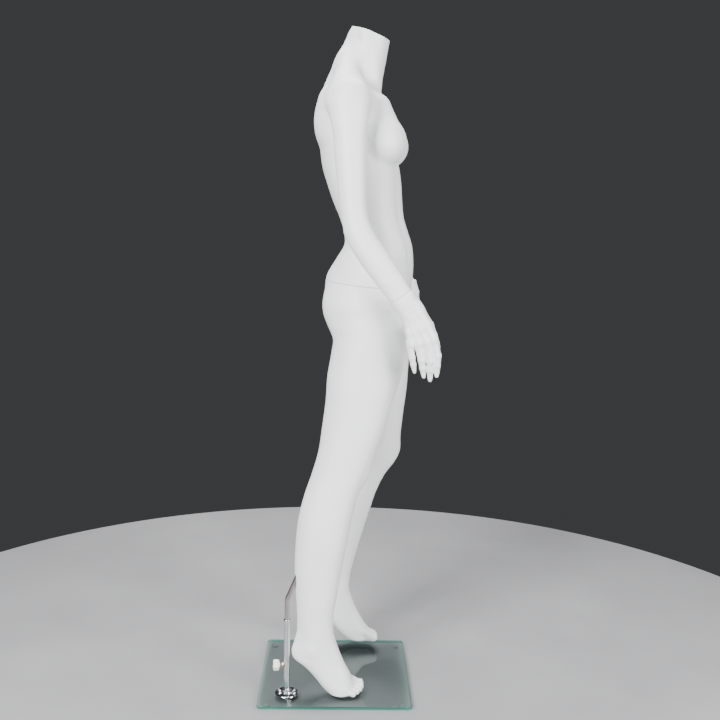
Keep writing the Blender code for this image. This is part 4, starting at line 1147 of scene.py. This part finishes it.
def make_glass():
    """The plate with polished round corners and edges."""
    reach = GLASS_SIDE / 2 - GLASS_CORNER
    outline = []
    for k in range(4):
        middle = Matrix.Rotation(k * math.pi / 2, 2)
        for step in range(13):
            corner = polar(GLASS_CORNER, step * math.pi / 24).xy
            outline.append(middle @ (Vector((reach, reach)) + corner))
    bm = bmesh.new()
    stack(bm, outline, rounded(-GLASS_THICK, 0.0, 0.0012, 3), Matrix.Identity(4))
    piece(bm, "glass_plate", "base", GLASS, ["glass_base"], 50.0)


def make_flange():
    """The dished flange with its stepped hub, and the bolts and nuts that hold it."""
    bm = bmesh.new()
    turn(
        bm,
        (
            (TUBE_RADIUS + 0.0003, 0.0118),
            (TUBE_RADIUS + 0.0003, 0.0),
            (FLANGE_RADIUS - 0.0003, 0.0),
            (FLANGE_RADIUS, 0.0004),
            (FLANGE_RADIUS, 0.0016),
            (FLANGE_RADIUS - 0.0004, 0.0023),
            (FLANGE_RADIUS - 0.0012, 0.0027),
            (0.0145, 0.0030),
            (0.0132, 0.0036),
            (0.0122, 0.0048),
            (0.0116, 0.0064),
            (0.0112, 0.0106),
            (0.0109, 0.0114),
            (0.0102, 0.0120),
        ),
        stand(TOUCH),
    )
    piece(bm, "flange_dish", "base", CHROME, ["base_flange"], 24.0)
    for number in range(1, 5):
        make_bolt(number)


def make_bolt(number):
    """One of the flange's bolts, up through the glass, and its nut."""
    place = stand(TOUCH) @ Matrix.Translation(polar(BOLT_CIRCLE, (number - 1) * math.pi / 2))
    seat, under = NUT_SEAT, -GLASS_TOP_HEIGHT
    top = [(0.0, seat + 0.0078), (0.0017, seat + 0.0078), (0.0021, seat + 0.0074)]
    head = [
        (BOLT_RADIUS, seat - 0.0014),
        (BOLT_RADIUS, under + 0.0024),
        (0.0040, under + 0.0023),
        (0.0046, under + 0.0018),
        (0.0046, under + 0.0003),
        (0.0043, under),
        (0.0, under),
    ]
    bm = bmesh.new()
    turn(bm, top + threads(BOLT_RADIUS, 0.0003, seat + 0.0070, seat - 0.001, 0.0006) + head, place, 36)
    piece(bm, f"bolt_{number}", "base", STEEL, [f"flange_bolt_{number}"], 30.0)
    bm = bmesh.new()
    levels = [(seat, 0.0005), (seat + 0.0005, 0.0), (seat + 0.0040, 0.0), (seat + 0.0045, 0.0005)]
    tightened = Matrix.Rotation(0.3 + 0.7 * (number - 1), 4, "Z")
    stack(bm, list(hexagon(NUT_RADIUS)), levels, place @ tightened)
    piece(bm, f"nut_{number}", "base", CHROME, [f"flange_nut_{number}"], 25.0)


def make_tube():
    """The chrome tube with its rolled lip, and the clamp's boss on it."""
    low, top = TUBE_FOOT, TUBE_TOP
    bm = bmesh.new()
    turn(
        bm,
        (
            (TUBE_BORE, top - 0.0008),
            (TUBE_BORE, low),
            (TUBE_RADIUS, low),
            (TUBE_RADIUS, top - 0.0045),
            (TUBE_RADIUS + 0.0005, top - 0.0040),
            (TUBE_RADIUS + 0.0008, top - 0.0032),
            (TUBE_RADIUS + 0.0009, top - 0.0020),
            (TUBE_RADIUS + 0.0008, top - 0.0008),
            (TUBE_RADIUS + 0.0004, top - 0.0002),
            (TUBE_RADIUS, top),
            (0.0067, top),
        ),
        stand(),
    )
    piece(bm, "chrome_tube", "base", CHROME, ["support_tube"], 30.0)
    make_boss_nut()


def make_boss_nut():
    """The hexagonal boss on the tube that the screw runs in."""
    bm = bmesh.new()
    rings = []
    outside = ((BOSS_START, 1.0), (BOSS_END - 0.0008, 1.0), (BOSS_END, 0.9))
    for height, share in outside:
        points = (share * point for point in hexagon(BOSS_RADIUS))
        rings.append([(point.length, math.atan2(point.y, point.x), height) for point in points])
    for height in (BOSS_END, BOSS_START):
        rings.append([(BOSS_BORE, angle, height) for _, angle, _ in rings[0]])
    bridge(bm, [[bm.verts.new(screw_frame() @ polar(*point)) for point in ring] for ring in rings], wrap=True)
    piece(bm, "clamp_nut", "base", COPPER, ["clamp_boss_nut"], 25.0)


def screw_frame():
    """On the tube's axis at the clamp, with Z out to the knob."""
    return frame_at((STAND_X, STAND_Y, SCREW_HEIGHT), (-1.0, 0.0, 0.0), (0.0, 0.0, 1.0))


def make_screw():
    """The threaded stud and the four-lobed knob on its end."""
    bm = bmesh.new()
    end = [(0.0, STUD_END), (0.0024, STUD_END)]
    shank = threads(STUD_RADIUS, 0.0004, 0.0180, 0.0085, 0.0010)
    turn(bm, end + shank + [(0.0020, BOSS_START), (0.0, BOSS_START)], screw_frame(), 36)
    piece(bm, "stud", "clamp_screw", STEEL, ["clamp_stud"], 30.0)
    outline = [polar(KNOB_RADIUS + KNOB_SWELL * math.cos(4 * angle), angle).xy for angle in angles(120)]
    levels = rounded(0.0190, 0.0340, 0.0034) + [(0.0338, 0.0055), (0.0334, 0.0062)]
    bm = bmesh.new()
    stack(bm, outline, levels, screw_frame())
    piece(bm, "knob_head", "clamp_handle", KNOB, ["clamp_knob"], 35.0)
    bm = bmesh.new()
    bore, foot, top = 0.0032, 0.0170, 0.0200
    rim = ((0.0058, foot), (0.0068, foot + 0.0004), (0.0072, foot + 0.0012), (0.0072, top))
    turn(bm, ((bore, top), (bore, foot), *rim), screw_frame(), 48)
    piece(bm, "knob_collar", "clamp_handle", KNOB, (), 30.0)


def make_rod():
    """The rod, straight in the tube and bent forwards into the calf."""
    points = [Vector((0.0, 0.0, ROD_FOOT - BEND_HEIGHT))]
    bend_steps, sides = 20, 48
    back = BEND_RADIUS * math.tan(ROD_LEAN / 2)
    for k in range(bend_steps + 1):
        angle = ROD_LEAN * k / bend_steps
        across = BEND_RADIUS * (1 - math.cos(angle))
        points.append(Vector((across, 0.0, BEND_RADIUS * math.sin(angle) - back)))
    points.append(ROD_IN_CALF * Vector((math.sin(ROD_LEAN), 0.0, math.cos(ROD_LEAN))))
    bm = bmesh.new()
    rings = []
    for k, point in enumerate(points):
        ahead = points[min(k + 1, len(points) - 1)] - points[max(k - 1, 0)]
        place = stand(BEND_HEIGHT) @ frame_at(point, ahead if k else UP)
        rings.append([bm.verts.new(place @ polar(ROD_RADIUS, angle)) for angle in angles(sides)])
    bridge(bm, rings)
    piece(bm, "satin_rod", "calf_rod", SATIN, ["calf_rod"], 40.0)


NODE_MATERIALS = {
    "skin": SKIN,
    "bulkhead": BOARD,
    "chrome": CHROME,
    "steel": STEEL,
    "glass": GLASS,
    "foot": BUMPER,
    "knob": KNOB,
}


def dress_nodes():
    """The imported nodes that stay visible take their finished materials."""
    for row in frame["record"]["subparts"]:
        obj = frame["nodes"][row["node"]]
        obj.data.materials.clear()
        obj.data.materials.append(NODE_MATERIALS[row["material_slot"]])


# ---- camera, floor and lights ----
def make_camera():
    """From the body's right side, at chest height, looking a little down."""
    pitch, yaw, roll = math.radians(8.32), math.radians(1.09), math.radians(0.94)
    level = Vector((math.sin(yaw), math.cos(yaw), 0.0))
    forward = level * math.cos(pitch) - UP * math.sin(pitch)
    right = forward.cross(UP).normalized()
    up = right.cross(forward)
    across = right * math.cos(roll) + up * math.sin(roll)
    up = up * math.cos(roll) - right * math.sin(roll)
    data = bpy.data.cameras.new("camera")
    data.sensor_width = 36.0
    data.lens = 48.62
    obj = placed("camera", data)
    place = Matrix.Translation(PLATE + Vector((0.0067, -2.4112, 1.1793)))
    obj.matrix_world = place @ from_axes(across, up, -forward)
    bpy.context.scene.camera = obj


def make_floor():
    """A pale round studio floor."""
    m = Material("studio_floor")
    tone = m.noise(3.0)
    m.set(Base_Color=m.ramp(tone, (0.29, 0.29, 0.30), (0.33, 0.33, 0.34)), Roughness=0.60)
    bm = bmesh.new()
    bmesh.ops.create_circle(bm, cap_ends=True, radius=1.5, segments=128)
    mesh = bpy.data.meshes.new("floor")
    bm.to_mesh(mesh)
    bm.free()
    mesh.materials.append(m.made)
    floor = placed("floor", mesh)
    floor.location = (PLATE.x, PLATE.y, 0.0)


def area_light(name, place, aim, size, power):
    """A soft square light, aimed at a point."""
    data = bpy.data.lights.new(name, "AREA")
    data.shape = "RECTANGLE"
    data.size, data.size_y = size
    data.energy = power
    obj = placed(name, data)
    obj.location = PLATE + Vector(place)
    obj.rotation_euler = (Vector(aim) - Vector(place)).to_track_quat("-Z", "Y").to_euler()
    obj.visible_glossy = name != "back"


def make_lights():
    """Two big soft boxes either side of the camera, one over the top and a dim one behind."""
    middle = (0.05, 0.0, 0.85)
    area_light("key", (-1.5, -2.6, 2.0), middle, (1.2, 1.8), 255.0)
    area_light("fill", (2.2, -1.9, 1.4), middle, (1.2, 1.8), 135.0)
    area_light("top", (0.0, 0.6, 2.9), middle, (1.8, 1.2), 80.0)
    area_light("back", (-0.8, 2.6, 1.6), middle, (1.2, 1.8), 36.0)
    world = bpy.data.worlds.new("studio")
    world.use_nodes = True
    background = world.node_tree.nodes["Background"].inputs
    background["Color"].default_value = (0.048, 0.049, 0.052, 1.0)
    background["Strength"].default_value = 1.0
    bpy.context.scene.world = world


make_camera()
make_floor()
make_lights()
dress_nodes()
make_torso()
make_lower_body()
make_glass()
make_flange()
make_tube()
make_screw()
make_rod()
for body_side in SIDES:
    make_arm(body_side)
    make_hand(body_side)
